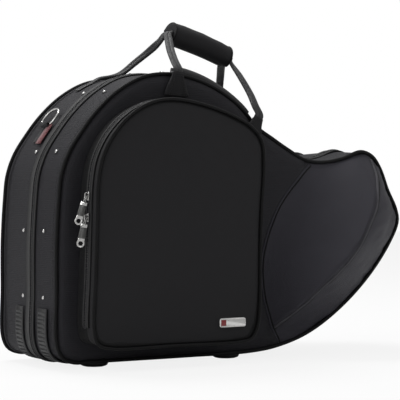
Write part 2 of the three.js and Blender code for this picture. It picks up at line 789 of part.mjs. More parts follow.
const pocketParting = (gussetFront + doorFoot) / 2;
const upperPullTilt = 0.28;
const lowerPullTilt = 0.2;
const pocketSliderNumbers = [4.69, 4.19];
const mainSliderNumbers = [14.12, 14.95];
const upperPull = { length: pullLength, turn: upperPullTilt, twist: pocketPullTwist };
const lowerPull = { length: pullLength, turn: lowerPullTilt, twist: pocketPullTwist };
const leftPull = { length: mainPullLength, turn: 0, twist: 0 };
const rightPull = { length: mainPullLength, turn: Math.PI, twist: 0 };
addSlider(lid, ['pocket', '_upper'], wallOfPocket, pocketSliderNumbers[0], pocketParting, upperPull);
addSlider(lid, ['pocket', '_lower'], wallOfPocket, pocketSliderNumbers[1], pocketParting, lowerPull);
addSlider(lid, ['main', '_left'], wallOf, mainSliderNumbers[0], 0, leftPull);
addSlider(lid, ['main', '_right'], wallOf, mainSliderNumbers[1], 0, rightPull);

// Straps: rolled webbing along a row of stations, each a centre and the direction of its width,
// and a flat end's width and thickness where it is sewn down
const strapWidth = 13.5;
const strapThickness = 6;
const sewnWidth = 17;
const sewnThickness = 2.2;
const strapSection = [[-1, 0], [-0.7, -1], [0.7, -1], [1, 0], [0.7, 1], [-0.7, 1]];
const strapSteps = 27;

function strap(stations) {
  const path = new THREE.CatmullRomCurve3(stations.map(([centre]) => centre), false, 'centripetal');
  const last = stations.length - 1;
  return loft(Array.from({ length: strapSteps + 1 }, (_, k) => {
    const share = k / strapSteps;
    const low = Math.min(Math.floor(share * last), last - 1);
    const part = share * last - low;
    const [here, next] = [stations[low], stations[low + 1]];
    const across = here[1].clone().lerp(next[1], part);
    const width = THREE.MathUtils.lerp(here[2] ?? strapWidth, next[2] ?? strapWidth, part);
    const thickness = THREE.MathUtils.lerp(here[3] ?? strapThickness, next[3] ?? strapThickness, part);
    const along = path.getTangent(share);
    across.addScaledVector(along, -across.dot(along)).normalize();
    const up = across.clone().cross(along);
    const centre = path.getPoint(share);
    return strapSection.map(([side, face]) => (
      centre.clone().addScaledVector(across, side * width / 2).addScaledVector(up, face * thickness / 2)
    ));
  }));
}

// Handle: two straps side by side in a padded wrap; the grip frame runs along the wrap
const gripLength = 114;
const gripStart = new THREE.Vector3(0.381 * caseLength, 0, 1.1636 * caseHeight);
const gripSlope = -0.255;
const wrapSpan = [-4, 111];
const wrapOuter = [21, 18.5];
const wrapCavityHalf = 14.6;
const wrapCavityLevel = 3.5;
const strapSpacing = 15;
const wrapAngles = [14, 255];
const flapAngles = [256, 344];
const flapLevel = 4.4;
const flapInset = 9;
const wrapSteps = 15;
const flapSteps = 6;
const wrapEndShare = 0.93;
const wrapEndLength = 3;

const gripAlong = new THREE.Vector3(1, 0, gripSlope).normalize();
const gripBack = new THREE.Vector3(0, 1, 0);
const gripFrame = new THREE.Matrix4().makeBasis(gripAlong, gripBack, gripAlong.clone().cross(gripBack));
gripFrame.setPosition(gripStart);

function inGrip(u, y, h) {
  return new THREE.Vector3(u, y, h).applyMatrix4(gripFrame);
}

function wrapArc([from, to], steps, share) {
  return Array.from({ length: steps + 1 }, (_, k) => {
    const angle = THREE.MathUtils.degToRad(from + (to - from) * k / steps);
    return [share * wrapOuter[0] * Math.cos(angle), share * wrapOuter[1] * Math.sin(angle)];
  });
}

function alongGrip(section, inset = 0) {
  const [start, end] = [wrapSpan[0] + inset, wrapSpan[1] - inset];
  const stations = [
    [start, wrapEndShare], [start + wrapEndLength, 1], [end - wrapEndLength, 1], [end, wrapEndShare],
  ];
  return loft(stations.map(([u, share]) => section(share).map(([y, h]) => inGrip(u, y, h))));
}

const wrapFinish = finish(colours.smooth, 0.7);
const wrapShape = alongGrip((share) => {
  const arc = wrapArc(wrapAngles, wrapSteps, share);
  return [...arc, [arc[wrapSteps][0], -wrapCavityLevel], [-wrapCavityHalf, -wrapCavityLevel],
    [-wrapCavityHalf, wrapCavityLevel], [wrapCavityHalf, wrapCavityLevel]];
});
const flapShape = alongGrip((share) => {
  const arc = wrapArc(flapAngles, flapSteps, share);
  return [...arc, [arc[0][0], -flapLevel]];
}, flapInset);
addPart(lid, 'grip_wrap', wrapShape, wrapFinish);
addPart(lid, 'grip_flap', flapShape, wrapFinish);

// Patches: sewn plates that hold the front strap to the front panel
const patchThickness = 4.3;
const patchSideShares = [[0, 0.48], [0.4, 0.55], [0.75, 0.8], [1, 1]];
const leftPatch = { place: [0.3175, 1.0117], lean: 0.05, foot: 19, drop: 38 };
const rightPatch = { place: [0.5492, 0.8715], lean: 0.42, foot: 17.5, drop: 27 };
const patchDepth = panelPlane - fitGap - patchThickness / 2;
const strapDepth = panelPlane - fitGap - sewnThickness / 2;

function patchFrame({ place, lean }) {
  const [across, up] = place;
  return new THREE.Matrix4().makeRotationY(lean).setPosition(across * caseLength, 0, up * caseHeight);
}

function patchShape(patch) {
  const side = patchSideShares.map(([down, out]) => [out * patch.foot, -down * patch.drop]);
  const mirrored = side.map(([x, z]) => [-x, z]).reverse();
  const plate = slab([...side, ...mirrored], patchThickness).translate(0, patchDepth, 0);
  const channelHalf = sewnWidth / 2 + fitGap;
  const channel = slab(
    rectangle(-channelHalf, channelHalf, -patch.drop + cutOverrun, cutOverrun), sewnThickness + 2 * fitGap,
  ).translate(0, strapDepth, 0);
  return cut(plate, channel).applyMatrix4(patchFrame(patch));
}

addPart(lid, 'handle_patch_left', patchShape(leftPatch), smoothFinish);
addPart(lid, 'handle_patch_right', patchShape(rightPatch), smoothFinish);

const vector = (x, y, z) => new THREE.Vector3(x, y, z);

// A place of a strap, as shares of the case's length, of its half's depth and of the height
function besideLid(across, back, up) {
  return vector(across * caseLength, back * lidDepth, up * caseHeight);
}

function besideBase(across, back, up) {
  return vector(across * caseLength, back * baseDepth, up * caseHeight);
}

// Stations of a strap's end under a patch, from its end to just above the patch's top
function sewnStations(patch) {
  const frame = patchFrame(patch);
  const across = vector(1, 0, 0).applyMatrix4(new THREE.Matrix4().makeRotationY(patch.lean));
  const turns = [-patch.drop + cutOverrun + fitGap, -patch.drop / 2, -sewnThickness, 2 * sewnThickness];
  return turns.map((t) => [vector(0, strapDepth, t).applyMatrix4(frame), across, sewnWidth, sewnThickness]);
}

const forward = vector(0, -1, 0);
const slanted = vector(0.5, -0.86, 0);

function gripStations(y) {
  return [wrapSpan[0] - 2, 4, gripLength / 3, gripLength * 2 / 3, gripLength - 10, wrapSpan[1] + 3]
    .map((u) => [inGrip(u, y, 0), forward]);
}

addPart(lid, 'front_handle', strap([
  ...sewnStations(leftPatch),
  [besideLid(0.3238, -0.96, 1.0491), vector(0.98, -0.2, 0)],
  [besideLid(0.3349, -0.6667, 1.0911), vector(0.95, -0.3, 0)],
  [besideLid(0.3508, -0.2933, 1.1425), vector(0.8, -0.6, 0)],
  [inGrip(-13, -strapSpacing / 2 - 2, -3), slanted],
  ...gripStations(-strapSpacing / 2),
  [inGrip(gripLength + 5, -strapSpacing / 2 - 3, -4), vector(-0.5, -0.86, 0)],
  [besideLid(0.5571, -0.48, 1.014), vector(-0.95, -0.3, 0)],
  [besideLid(0.554, -0.84, 0.9393), vector(-1, -0.1, 0)],
  [besideLid(0.5524, -1.0667, 0.8995), vector(-1, 0, 0)],
  ...sewnStations(rightPatch).reverse().map(([centre, across, ...size]) => (
    [centre, across.clone().negate(), ...size]
  )),
]), webbingFinish);

// The back strap is sewn to the base wall at both ends
const sewnDepth = 75;
const sewnLift = fitGap + sewnThickness / 2;
const sewnRise = 0.5;
const endRise = 2;
const leftSewnNumbers = [10.5, 10.75, 11, 11.2];
const rightSewnNumbers = [18.3, 18.6, 18.9];

function onWall(number, lift) {
  const spot = onFacets(outline, number, wallOut(sewnDepth) + lift);
  return [vector(spot.x, sewnDepth, spot.y), forward, sewnWidth, sewnThickness];
}

addPart(base, 'back_handle', strap([
  ...leftSewnNumbers.map((number) => onWall(number, sewnLift + sewnRise)),
  [besideBase(0.2413, 0.6944, 1.007), forward],
  [besideBase(0.273, 0.6944, 1.021), forward],
  [besideBase(0.3016, 0.6574, 1.0327), forward],
  [besideBase(0.3302, 0.5463, 1.0678), vector(-0.2, -0.98, 0)],
  [besideBase(0.3508, 0.3704, 1.1098), vector(-0.4, -0.9, 0)],
  [inGrip(-15, strapSpacing / 2 + 7, -4), vector(-0.4, -0.9, 0)],
  ...gripStations(strapSpacing / 2),
  [inGrip(gripLength + 4, strapSpacing / 2 + 5, -5), vector(0.3, -0.95, 0)],
  [besideBase(0.5683, 0.3704, 1.0304), vector(0.4, -0.92, 0)],
  [besideBase(0.5889, 0.5926, 0.9626), vector(0.3, -0.95, 0)],
  [besideBase(0.5984, 0.6852, 0.8692), forward],
  ...rightSewnNumbers.map((number, k) => onWall(number, sewnLift + (k ? sewnRise : endRise))),
]), webbingFinish);

// D-rings on webbing loops
const ringWire = 2;
const ringInnerHalf = 17;
const ringReach = 31;
const ringSections = 6;
const ringBend = 5;
const loopWidth = 25;
const ringLift = fitGap + sewnThickness + ringWire + 2 * runningGap;
const loopSlack = 0.6;
const loopSegments = 14;
const leftRing = { number: 8.4, y: 49, turn: 0, tail: [7.55, 8.5] };
const rightRing = { number: 25.7, y: 50, turn: Math.PI, tail: [25.62, 26.42] };

function ringShape() {
  const half = ringInnerHalf + ringWire;
  const straight = ringReach - half * 0.7;
  const path = [vector(0, -half + ringBend, 0), vector(0, half - ringBend, 0), vector(ringBend, half, 0)];
  for (let k = 0; k <= 6; k += 1) {
    const angle = Math.PI / 2 - Math.PI * k / 6;
    path.push(vector(straight + half * 0.7 * Math.cos(angle), half * Math.sin(angle), 0));
  }
  path.push(vector(ringBend, -half, 0));
  return loft(path.map((point, k) => {
    const before = path[(k + path.length - 1) % path.length];
    const after = path[(k + 1) % path.length];
    const into = point.clone().sub(before).normalize();
    const out = after.clone().sub(point).normalize();
    const across = vector(0, 0, 1).cross(into.clone().add(out)).normalize();
    const stretch = 1 / Math.sqrt((1 + into.dot(out)) / 2);
    return Array.from({ length: ringSections }, (_, j) => {
      const angle = 2 * Math.PI * (j + 0.5) / ringSections;
      const spot = point.clone().addScaledVector(across, ringWire * stretch * Math.cos(angle));
      spot.z += ringWire * Math.sin(angle);
      return spot;
    });
  }), true);
}

function ringFrame({ number, y, turn }) {
  return wallFrame(wallOf, number, y, ringLift).multiply(new THREE.Matrix4().makeRotationZ(turn));
}

function loopShape(ring) {
  const inner = ringWire + loopSlack;
  const outer = inner + sewnThickness;
  const disc = (radius, width) => turned([
    [0, -width / 2], [radius, -width / 2], [radius, width / 2], [0, width / 2],
  ], loopSegments).rotateX(Math.PI / 2);
  const [front, back] = [ring.y - loopWidth / 2, ring.y + loopWidth / 2];
  const [low, high] = [fitGap, fitGap + sewnThickness];
  const tail = ribbon(
    wallOf, facetStops(...ring.tail), [[front, low], [back, low], [back, high], [front, high]],
  );
  const place = ringFrame(ring);
  const eye = disc(outer, loopWidth).applyMatrix4(place);
  return cut(joined(eye, tail), disc(inner, loopWidth + cutOverrun).applyMatrix4(place));
}

[['left', leftRing], ['right', rightRing]].forEach(([word, ring]) => {
  addPart(base, `d_ring_loop_${word}`, loopShape(ring), webbingFinish);
  placed(addPart(base, `d_ring_${word}`, ringShape(), nickelFinish), ringFrame(ring));
});

// Foam blocks that carry the horn inside the base, and a pad inside the lid
const blockInset = shellWall + liningGap + liningThickness + fitGap;
const foamFinish = finish(colours.foam, 0.95);
const blockReach = 130;
const blockStart = 8;
const baseSpace = spaceInside(baseHalf, blockInset, blockStart);
const lidSpace = spaceInside(lidHalf, blockInset, blockStart);

function boxBetween([x0, y0, z0], [x1, y1, z1]) {
  return new THREE.BoxGeometry(x1 - x0, y1 - y0, z1 - z0)
    .translate((x0 + x1) / 2, (y0 + y1) / 2, (z0 + z1) / 2);
}

function drum(radius, length, segments) {
  return turned([[0, -length / 2], [radius, -length / 2], [radius, length / 2], [0, length / 2]], segments);
}

const coilCentre = [0.3016 * caseLength, 0.5257 * caseHeight];
const coilRadius = 165;
const blockSegments = 40;
const cornerBlock = cut(
  common(boxBetween([0, blockStart, 0], [blockReach, baseDepth * 2, blockReach]), baseSpace),
  drum(coilRadius, caseLength, blockSegments).rotateX(Math.PI / 2).translate(coilCentre[0], 0, coilCentre[1]),
);
addPart(base, 'corner_block', cornerBlock, foamFinish);

const bellTurn = Math.atan2(0.593, 0.805);
const bellCentre = [0.754 * caseLength, 0.3972 * caseHeight];
const saddleThickness = 35;
const saddleWidth = 230;
const saddlePlace = -110;
const throatRadius = 72;
const bellFrame = new THREE.Matrix4().makeRotationY(bellTurn).setPosition(bellCentre[0], 0, bellCentre[1]);
const saddleBox = boxBetween(
  [saddlePlace, blockStart, -saddleWidth / 2],
  [saddlePlace + saddleThickness, baseDepth * 2, saddleWidth / 2],
).applyMatrix4(bellFrame);
const throat = drum(throatRadius, caseLength, blockSegments).rotateY(Math.PI / 2).applyMatrix4(bellFrame);
addPart(base, 'bell_saddle', cut(common(saddleBox, baseSpace), throat), foamFinish);

const chockStart = 62;
const chockHalf = 150;
const chockBox = boxBetween([chockStart, blockStart, -chockHalf], [caseLength, baseDepth * 2, chockHalf])
  .applyMatrix4(bellFrame);
addPart(base, 'bell_chock', common(chockBox, baseSpace), foamFinish);

const padRadius = 80;
const padThickness = 20;
const padPlace = [0.2778 * caseLength, 0.479 * caseHeight];
const padFace = panelPlane + blockInset;
const lidPad = common(
  drum(padRadius, 2 * padThickness, blockSegments).rotateX(Math.PI / 2)
    .translate(padPlace[0], padFace, padPlace[1]),
  lidSpace,
);
addPart(lid, 'lid_pad', lidPad, foamFinish);

// The middle of the case's footprint is the origin, on the floor
const extent = new THREE.Box3().setFromObject(horncase);
horncase.position.set(-(extent.min.x + extent.max.x) / 2, -(extent.min.y + extent.max.y) / 2, -extent.min.z);
horncase.updateMatrixWorld(true);

export default horncase;
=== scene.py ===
import math

import bmesh
import bpy
from mathutils import Matrix, Vector, noise
from mathutils.bvhtree import BVHTree


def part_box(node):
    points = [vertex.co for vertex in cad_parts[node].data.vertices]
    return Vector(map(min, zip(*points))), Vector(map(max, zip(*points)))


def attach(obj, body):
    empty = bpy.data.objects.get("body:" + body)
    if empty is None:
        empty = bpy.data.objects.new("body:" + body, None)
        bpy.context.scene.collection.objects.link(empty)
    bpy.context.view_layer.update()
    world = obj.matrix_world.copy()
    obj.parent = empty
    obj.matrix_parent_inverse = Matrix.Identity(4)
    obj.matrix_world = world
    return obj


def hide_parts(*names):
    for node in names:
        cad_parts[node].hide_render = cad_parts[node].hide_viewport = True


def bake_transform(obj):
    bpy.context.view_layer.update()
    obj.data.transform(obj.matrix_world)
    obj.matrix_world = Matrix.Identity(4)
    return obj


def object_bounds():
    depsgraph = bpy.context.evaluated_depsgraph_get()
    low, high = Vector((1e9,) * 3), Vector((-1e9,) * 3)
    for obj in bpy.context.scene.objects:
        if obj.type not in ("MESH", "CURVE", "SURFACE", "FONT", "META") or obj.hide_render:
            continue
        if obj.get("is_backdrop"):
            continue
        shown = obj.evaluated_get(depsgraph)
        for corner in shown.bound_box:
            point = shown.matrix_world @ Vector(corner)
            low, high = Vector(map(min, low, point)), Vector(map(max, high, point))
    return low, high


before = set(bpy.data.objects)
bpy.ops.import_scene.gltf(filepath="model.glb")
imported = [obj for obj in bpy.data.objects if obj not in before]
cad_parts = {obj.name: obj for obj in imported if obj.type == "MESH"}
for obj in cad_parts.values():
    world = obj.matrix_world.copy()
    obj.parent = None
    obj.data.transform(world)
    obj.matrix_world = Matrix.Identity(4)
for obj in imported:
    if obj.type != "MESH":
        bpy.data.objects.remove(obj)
cad_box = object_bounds()
scene = bpy.context.scene


# View: the photograph looks at the left end and the pocket side from about the height of the
# case's middle, through a long lens. The case's lower left front corner is the reference.
CORNER = Vector((-0.3143, -0.0820, 0.0130))
CAMERA_BACK = Vector((-1.0896, -2.1384, 0.2528))
CAMERA_TURN = math.radians(32.0)
camera_data = bpy.data.cameras.new("camera")
camera_data.lens = 147.0
camera_data.sensor_width = 36.0
camera_data.shift_y = -0.025
camera = bpy.data.objects.new("camera", camera_data)
camera.location = CORNER + CAMERA_BACK
camera.rotation_euler = (math.radians(90), 0, -CAMERA_TURN)
scene.collection.objects.link(camera)
scene.camera = camera
scene.view_settings.view_transform = "Standard"


# Studio: a plain pale floor, a white surround that lights everything softly, and three large
# lamps, one on the left, one over the bell end and one above and behind the case.
FLOOR_REACH, FLOOR_GLOW = 6.0, 0.85
SKY_LIGHT, SKY_SEEN, SKY_MIRRORED = 0.36, 0.64, 0.1
SOFTBOX_AIM = Vector((0, 0, 0.2))
MIX_FIRST, MIX_LAST, MIX_RESULT = 6, 7, 2


class Wire:
    """A socket of one material, so that its sums are written as Python sums."""

    def __init__(self, tree, socket=None):
        self.tree, self.socket = tree, socket

    def node(self, kind, settings=(), sockets=(), output=0):
        made = self.tree.nodes.new(kind)
        for name, value in dict(settings).items():
            setattr(made, name, value)
        for name, value in dict(sockets).items():
            if isinstance(value, Wire):
                self.tree.links.new(value.socket, made.inputs[name])
            else:
                made.inputs[name].default_value = value
        return Wire(self.tree, made.outputs[output] if made.outputs else None)

    def maths(self, operation, *values):
        return self.node("ShaderNodeMath", {"operation": operation}, dict(enumerate(values)))

    def __add__(self, other):
        return self.maths("ADD", self, other)

    __radd__ = __add__

    def __mul__(self, other):
        return self.maths("MULTIPLY", self, other)

    __rmul__ = __mul__

    def sine(self):
        return self.maths("SINE", self)


def new_material(name):
    material = bpy.data.materials.new(name)
    material.use_nodes = True
    material.node_tree.nodes.clear()
    return material, Wire(material.node_tree)


floor_material, wire = new_material("pale_floor")
seen = wire.node("ShaderNodeLightPath", output="Is Camera Ray")
pale = wire.node("ShaderNodeBsdfDiffuse", sockets={"Color": (0.9, 0.9, 0.9, 1)})
white = wire.node("ShaderNodeEmission", sockets={"Color": (1, 1, 1, 1), "Strength": 1.0})
shown = wire.node("ShaderNodeMixShader", sockets={0: seen * FLOOR_GLOW, 1: pale, 2: white})
wire.node("ShaderNodeOutputMaterial", sockets={"Surface": shown})
bm = bmesh.new()
bmesh.ops.create_grid(bm, x_segments=1, y_segments=1, size=FLOOR_REACH)
mesh = bpy.data.meshes.new("floor")
bm.to_mesh(mesh)
bm.free()
mesh.materials.append(floor_material)
floor = bpy.data.objects.new("floor", mesh)
scene.collection.objects.link(floor)
floor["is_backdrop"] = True

world = bpy.data.worlds.new("surround")
world.use_nodes = True
world.node_tree.nodes.clear()
wire = Wire(world.node_tree)
backdrop = wire.node("ShaderNodeLightPath", output="Is Camera Ray")
glossy = wire.node("ShaderNodeLightPath", output="Is Glossy Ray")
strength = backdrop * SKY_SEEN + glossy * SKY_MIRRORED + SKY_LIGHT
air = wire.node("ShaderNodeBackground", sockets={"Color": (1, 1, 1, 1), "Strength": strength})
wire.node("ShaderNodeOutputWorld", sockets={"Surface": air})
scene.world = world

for name, place, size, power in (
    ("left_softbox", (-2.4, -0.5, 1.9), 1.6, 18),
    ("bell_softbox", (1.9, -1.2, 2.2), 1.6, 9),
    ("top_softbox", (-0.3, 0.9, 2.6), 1.2, 44),
):
    lamp = bpy.data.lights.new(name, "AREA")
    lamp.size, lamp.energy = size, power
    box = bpy.data.objects.new(name, lamp)
    box.location = place
    box.rotation_euler = (SOFTBOX_AIM - Vector(place)).to_track_quat("-Z", "Y").to_euler()
    scene.collection.objects.link(box)


# Shells: two halves of foam board covered in black ballistic nylon, with a smoother panel over the
# bell flare and a plush lining inside. Each is a finer copy of its CAD shell, rounded at the
# borders, rolled at the edge and slightly puckered where the rim's welt gathers the cloth.
MILLIMETRE = 0.001
HALVES = {"front": (-1, "lid"), "back": (1, "base")}
HALF_DEPTHS = {"front": 0.075, "back": 0.108}
CASE_LENGTH, CASE_LEFT = 0.630, -0.31429
CASE_HEIGHT, CASE_FOOT = 0.428, 0.013
PARTING = -0.00699
BELL_CENTRE = Vector((0.12, 0, 0.19))
BELL_SWELL, SWELL_START, SWELL_RUN = 2.6 * MILLIMETRE, 0.02, 0.16
WELD, SMALL_WELD = 2e-5, 1e-6
WALL_LEAST, WALL_MOST, LIP_REACH, WALL_CUTS = 0.055, 0.13, 0.003, 7
SHELL_CREASE = 0.85
PUCKER_DEPTH, PUCKER_CLEARANCE = 0.0024, 0.03
PUCKER_TURNS = Matrix(((14, 0, 40), (0, 12, 0), (-40, 0, 95)))
PANEL_OVERLAP, PANEL_FACING = 0.012, 0.25
BELL_SEAM = [
    (0.7189, 0.6854), (0.6942, 0.6599), (0.6735, 0.6309), (0.6439, 0.5851), (0.6182, 0.5373),
    (0.5964, 0.4799), (0.5779, 0.4138), (0.5662, 0.3515), (0.5627, 0.2906), (0.5647, 0.2413),
    (0.5701, 0.1932), (0.5823, 0.1336), (0.5975, 0.0763), (0.6176, 0.0376), (0.625, 0.018),
]
RIM_SEAM = [
    (0.911, 0.708), (0.905, 0.676), (0.8970, 0.6455), (0.8789, 0.5997), (0.8538, 0.5277), (0.8171, 0.457),
    (0.7777, 0.369), (0.7399, 0.3034), (0.6828, 0.2204), (0.644, 0.1486), (0.5975, 0.0763),
]


def swell(point):
    """The bell end's fabric stands proud of its board, by more towards the end."""
    away = point - BELL_CENTRE
    away.y = 0
    share = min(1, max(0, (point.x - SWELL_START) / SWELL_RUN))
    return point + away.normalized() * BELL_SWELL * share * share * (3 - 2 * share)


def on_case(across, up):
    """A share of the outline's length and height as x and z."""
    return across * CASE_LENGTH + CASE_LEFT, up * CASE_HEIGHT + CASE_FOOT


def joined_copy(node, flat=60):
    """A merged copy of a CAD node's mesh, its triangles joined to four-sided faces."""
    work = bmesh.new()
    work.from_mesh(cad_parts[node].data)
    bmesh.ops.remove_doubles(work, verts=work.verts, dist=WELD)
    bmesh.ops.join_triangles(
        work, faces=work.faces, angle_face_threshold=math.radians(flat),
        angle_shape_threshold=math.radians(100),
    )
    return work


def crease(work, sharp, amount):
    """Edges that turn by more than an angle in degrees keep so much of their corner."""
    layer = work.edges.layers.float.get("crease_edge") or work.edges.layers.float.new("crease_edge")
    for edge in work.edges:
        if len(edge.link_faces) == 2 and edge.calc_face_angle() > math.radians(sharp):
            edge[layer] = amount


def smoothed(work, levels):
    """The mesh after subdivision, as a new bmesh."""
    mesh = bpy.data.meshes.new("work")
    work.to_mesh(mesh)
    work.free()
    holder = bpy.data.objects.new("work", mesh)
    scene.collection.objects.link(holder)
    modifier = holder.modifiers.new("smooth", "SUBSURF")
    modifier.levels = modifier.render_levels = levels
    bpy.context.view_layer.update()
    done = bmesh.new()
    done.from_mesh(holder.evaluated_get(bpy.context.evaluated_depsgraph_get()).to_mesh())
    bpy.data.objects.remove(holder)
    bpy.data.meshes.remove(mesh)
    return done


def piece(work, name, body, material, slot, *nodes):
    """A finished mesh as a piece on a body, or on none yet, in the place of its CAD nodes."""
    mesh = bpy.data.meshes.new(name)
    for face in work.faces:
        face.smooth = True
    work.to_mesh(mesh)
    work.free()
    mesh.materials.append(material)
    made = bpy.data.objects.new(name, mesh)
    scene.collection.objects.link(made)
    if body:
        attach(made, body)
    if nodes:
        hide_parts(*nodes)
    return made


def right_of(points, x, z):
    """True where a point is on the bell's side of a seam drawn from top to bottom."""
    best, side = math.inf, False
    for (x0, z0), (x1, z1) in zip(points, points[1:]):
        along = Vector((x1 - x0, z1 - z0))
        away = Vector((x - x0, z - z0))
        share = min(1, max(0, away.dot(along) / along.length_squared))
        distance = (away - along * share).length
        if distance < best:
            best, side = distance, along.x * away.y - along.y * away.x > 0
    return side


def axes_of(wire):
    """The object coordinates x, y and z."""
    place = wire.node("ShaderNodeTexCoord", output="Object")
    split = wire.node("ShaderNodeSeparateXYZ", sockets={0: place})
    return [Wire(wire.tree, output) for output in split.socket.node.outputs]


def waves(distance, pitch):
    return (distance * (math.tau / pitch)).sine()


def woven_height(wire, pitch):
    """Threads that pass over and under each other, from object coordinates."""
    x, y, z = [waves(axis, pitch) for axis in axes_of(wire)]
    return x * y + y * z + z * x


def clouds(wire, scale, detail=3.0, roughness=0.5):
    """Soft mottling between 0 and 1, from object coordinates."""
    place = wire.node("ShaderNodeTexCoord", output="Object")
    return wire.node("ShaderNodeTexNoise", sockets={
        "Vector": place, "Scale": scale, "Detail": detail, "Roughness": roughness,
    })


def coated(wire, dark, light, share, roughness, relief=None, more=()):
    """Ends a material: a share blends two colours, and a relief is a height, its depth and strength."""
    colour = wire.node(
        "ShaderNodeMix", {"data_type": "RGBA"},
        {"Factor": share, MIX_FIRST: (*dark, 1), MIX_LAST: (*light, 1)}, output=MIX_RESULT,
    )
    sockets = {"Base Color": colour, "Roughness": roughness, **dict(more)}
    if relief:
        height, depth, strength = relief
        sockets["Normal"] = wire.node("ShaderNodeBump", sockets={
            "Height": height, "Distance": depth, "Strength": strength,
        })
    shader = wire.node("ShaderNodeBsdfPrincipled", sockets=sockets)
    wire.node("ShaderNodeOutputMaterial", sockets={"Surface": shader})


def fabric(name, dark, light, pitch, depth, roughness, ribs=0.0, mottle=30.0, sheen=0.02):
    """A woven cloth: threads from object coordinates, with ribs along x and slight mottling."""
    material, wire = new_material(name)
    weave = woven_height(wire, pitch)
    rows = waves(axes_of(wire)[2], pitch * 1.7) * ribs
    cloud, fuzz = clouds(wire, mottle, roughness=0.55), clouds(wire, 900.0, 2.0)
    share = weave * 0.16 + rows * 0.12 + cloud * 0.5 + fuzz * 0.35
    relief = (weave + rows + fuzz * 0.6, depth, 0.6)
    more = {"Sheen Weight": sheen, "Sheen Roughness": 0.4, "Specular IOR Level": 0.2}
    coated(wire, dark, light, share, cloud * 0.15 + roughness, relief, more)
    return material


ballistic = fabric(
    "ballistic_nylon", (0.0128, 0.0124, 0.0150), (0.0278, 0.0270, 0.0320), 0.0016, 0.00025, 0.55, ribs=0.6,
)
bell_cloth = fabric(
    "bell_nylon", (0.0265, 0.0255, 0.0325), (0.0465, 0.0445, 0.0555), 0.0010, 0.00012, 0.5,
)
# The linings' plain plush comes with the frame.
plush = bpy.data.materials["plush"]
seam_line = [on_case(across, up) for across, up in BELL_SEAM]
rim_line = [on_case(across, up) for across, up in RIM_SEAM]

shell_surface = {}
for word, (side, body) in HALVES.items():
    work = joined_copy(f"{word}_shell")
    wall_edges = [
        edge for edge in work.edges
        if abs(edge.verts[0].co.y - edge.verts[1].co.y) > WALL_LEAST and edge.calc_length() < WALL_MOST
        and min(abs(vertex.co.y - PARTING) for vertex in edge.verts) < LIP_REACH
    ]
    bmesh.ops.subdivide_edges(work, edges=wall_edges, cuts=WALL_CUTS, use_grid_fill=True)
    crease(work, 40, SHELL_CREASE)
    work = smoothed(work, 2)
    for vertex in work.verts:
        here = vertex.co
        if side * (here.y - PARTING) > PUCKER_CLEARANCE and right_of(rim_line, here.x, here.z):
            vertex.co = here + vertex.normal * PUCKER_DEPTH * noise.noise(PUCKER_TURNS @ here)
        vertex.co = swell(vertex.co)
    work.normal_update()
    panel_start = HALF_DEPTHS[word] - PANEL_OVERLAP
    for face in work.faces:
        middle = face.calc_center_median()
        outside = abs(face.normal.y) > PANEL_FACING and side * (middle.y - PARTING) > panel_start
        if outside and right_of(seam_line, middle.x, middle.z):
            face.material_index = 1
    shell_surface[word] = BVHTree.FromBMesh(work)
    shell = piece(work, f"{word}_shell_cloth", body, ballistic, "ballistic", f"{word}_shell")
    shell.data.materials.append(bell_cloth)
    lining = smoothed(joined_copy(f"{word}_lining"), 1)
    piece(lining, f"{word}_plush", body, plush, "plush", f"{word}_lining")


# Outline of the case seen from the front, as the pattern cutter numbers it, clockwise from the
# bottom left. The side walls, welts, zipper and stitching are all drawn along it.
OUTLINE = [Vector(on_case(across, up)) for across, up in (
    (0.044, 0), (0.014, 0.019), (0, 0.065), (0, 0.234), (0, 0.397), (0.006, 0.556), (0.013, 0.643),
    (0.032, 0.717), (0.0635, 0.787), (0.102, 0.857), (0.151, 0.923), (0.206, 0.972), (0.251, 0.994),
    (0.317, 1), (0.386, 0.982), (0.452, 0.943), (0.511, 0.887), (0.556, 0.82), (0.603, 0.778),
    (0.654, 0.734), (0.705, 0.696), (0.76, 0.687), (0.825, 0.703), (0.8825, 0.73), (0.9175, 0.714),
    (0.943, 0.668), (0.968, 0.586), (0.994, 0.516), (1, 0.47), (0.975, 0.395), (0.91, 0.276),
    (0.819, 0.159), (0.714, 0.065), (0.622, 0.019), (0.54, 0.0022), (0.365, 0), (0.198, 0), (0.079, 0),
)]
WALL_DRAFT = 4 * MILLIMETRE
NUMBER_STEPS, AHEAD = 60, 0.01


def curve_point(points, number):
    """A place on the smooth closed curve through numbered points."""
    first = math.floor(number)
    share = number - first
    before, start, end, after = (points[(first + step) % len(points)] for step in (-1, 0, 1, 2))
    gaps = [math.sqrt((b - a).length) for a, b in ((before, start), (start, end), (end, after))]
    leave = (start - before) / gaps[0] - (end - before) / (gaps[0] + gaps[1]) + (end - start) / gaps[1]
    arrive = (end - start) / gaps[1] - (after - start) / (gaps[1] + gaps[2]) + (after - end) / gaps[2]
    leave, arrive = leave * gaps[1], arrive * gaps[1]
    bend = 3 * (end - start) - 2 * leave - arrive
    return start + share * (leave + share * (bend + share * (2 * (start - end) + leave + arrive)))


def frame_at(point, along, out):
    """A matrix whose axes run along a line, out of the surface and across."""
    along = along.normalized()
    out = (out - along * out.dot(along)).normalized()
    across = along.cross(out)
    turn = Matrix((along, out, across)).transposed().to_4x4()
    return Matrix.Translation(point) @ turn


def wall_frame(number, depth, lift, points=OUTLINE, draft=WALL_DRAFT):
    """The frame of a place on a side wall: along it, out of it, and across it."""
    here = curve_point(points, number)
    along = (curve_point(points, number + AHEAD) - here).normalized()
    out = Vector((-along.y, along.x))
    half = HALF_DEPTHS["front" if depth < 0 else "back"]
    here = here + out * (draft * max(0, 1 - abs(depth) / half) + lift)
    point = swell(Vector((here.x, PARTING + depth, here.y)))
    return frame_at(point, Vector((along.x, 0, along.y)), Vector((out.x, 0, out.y)))


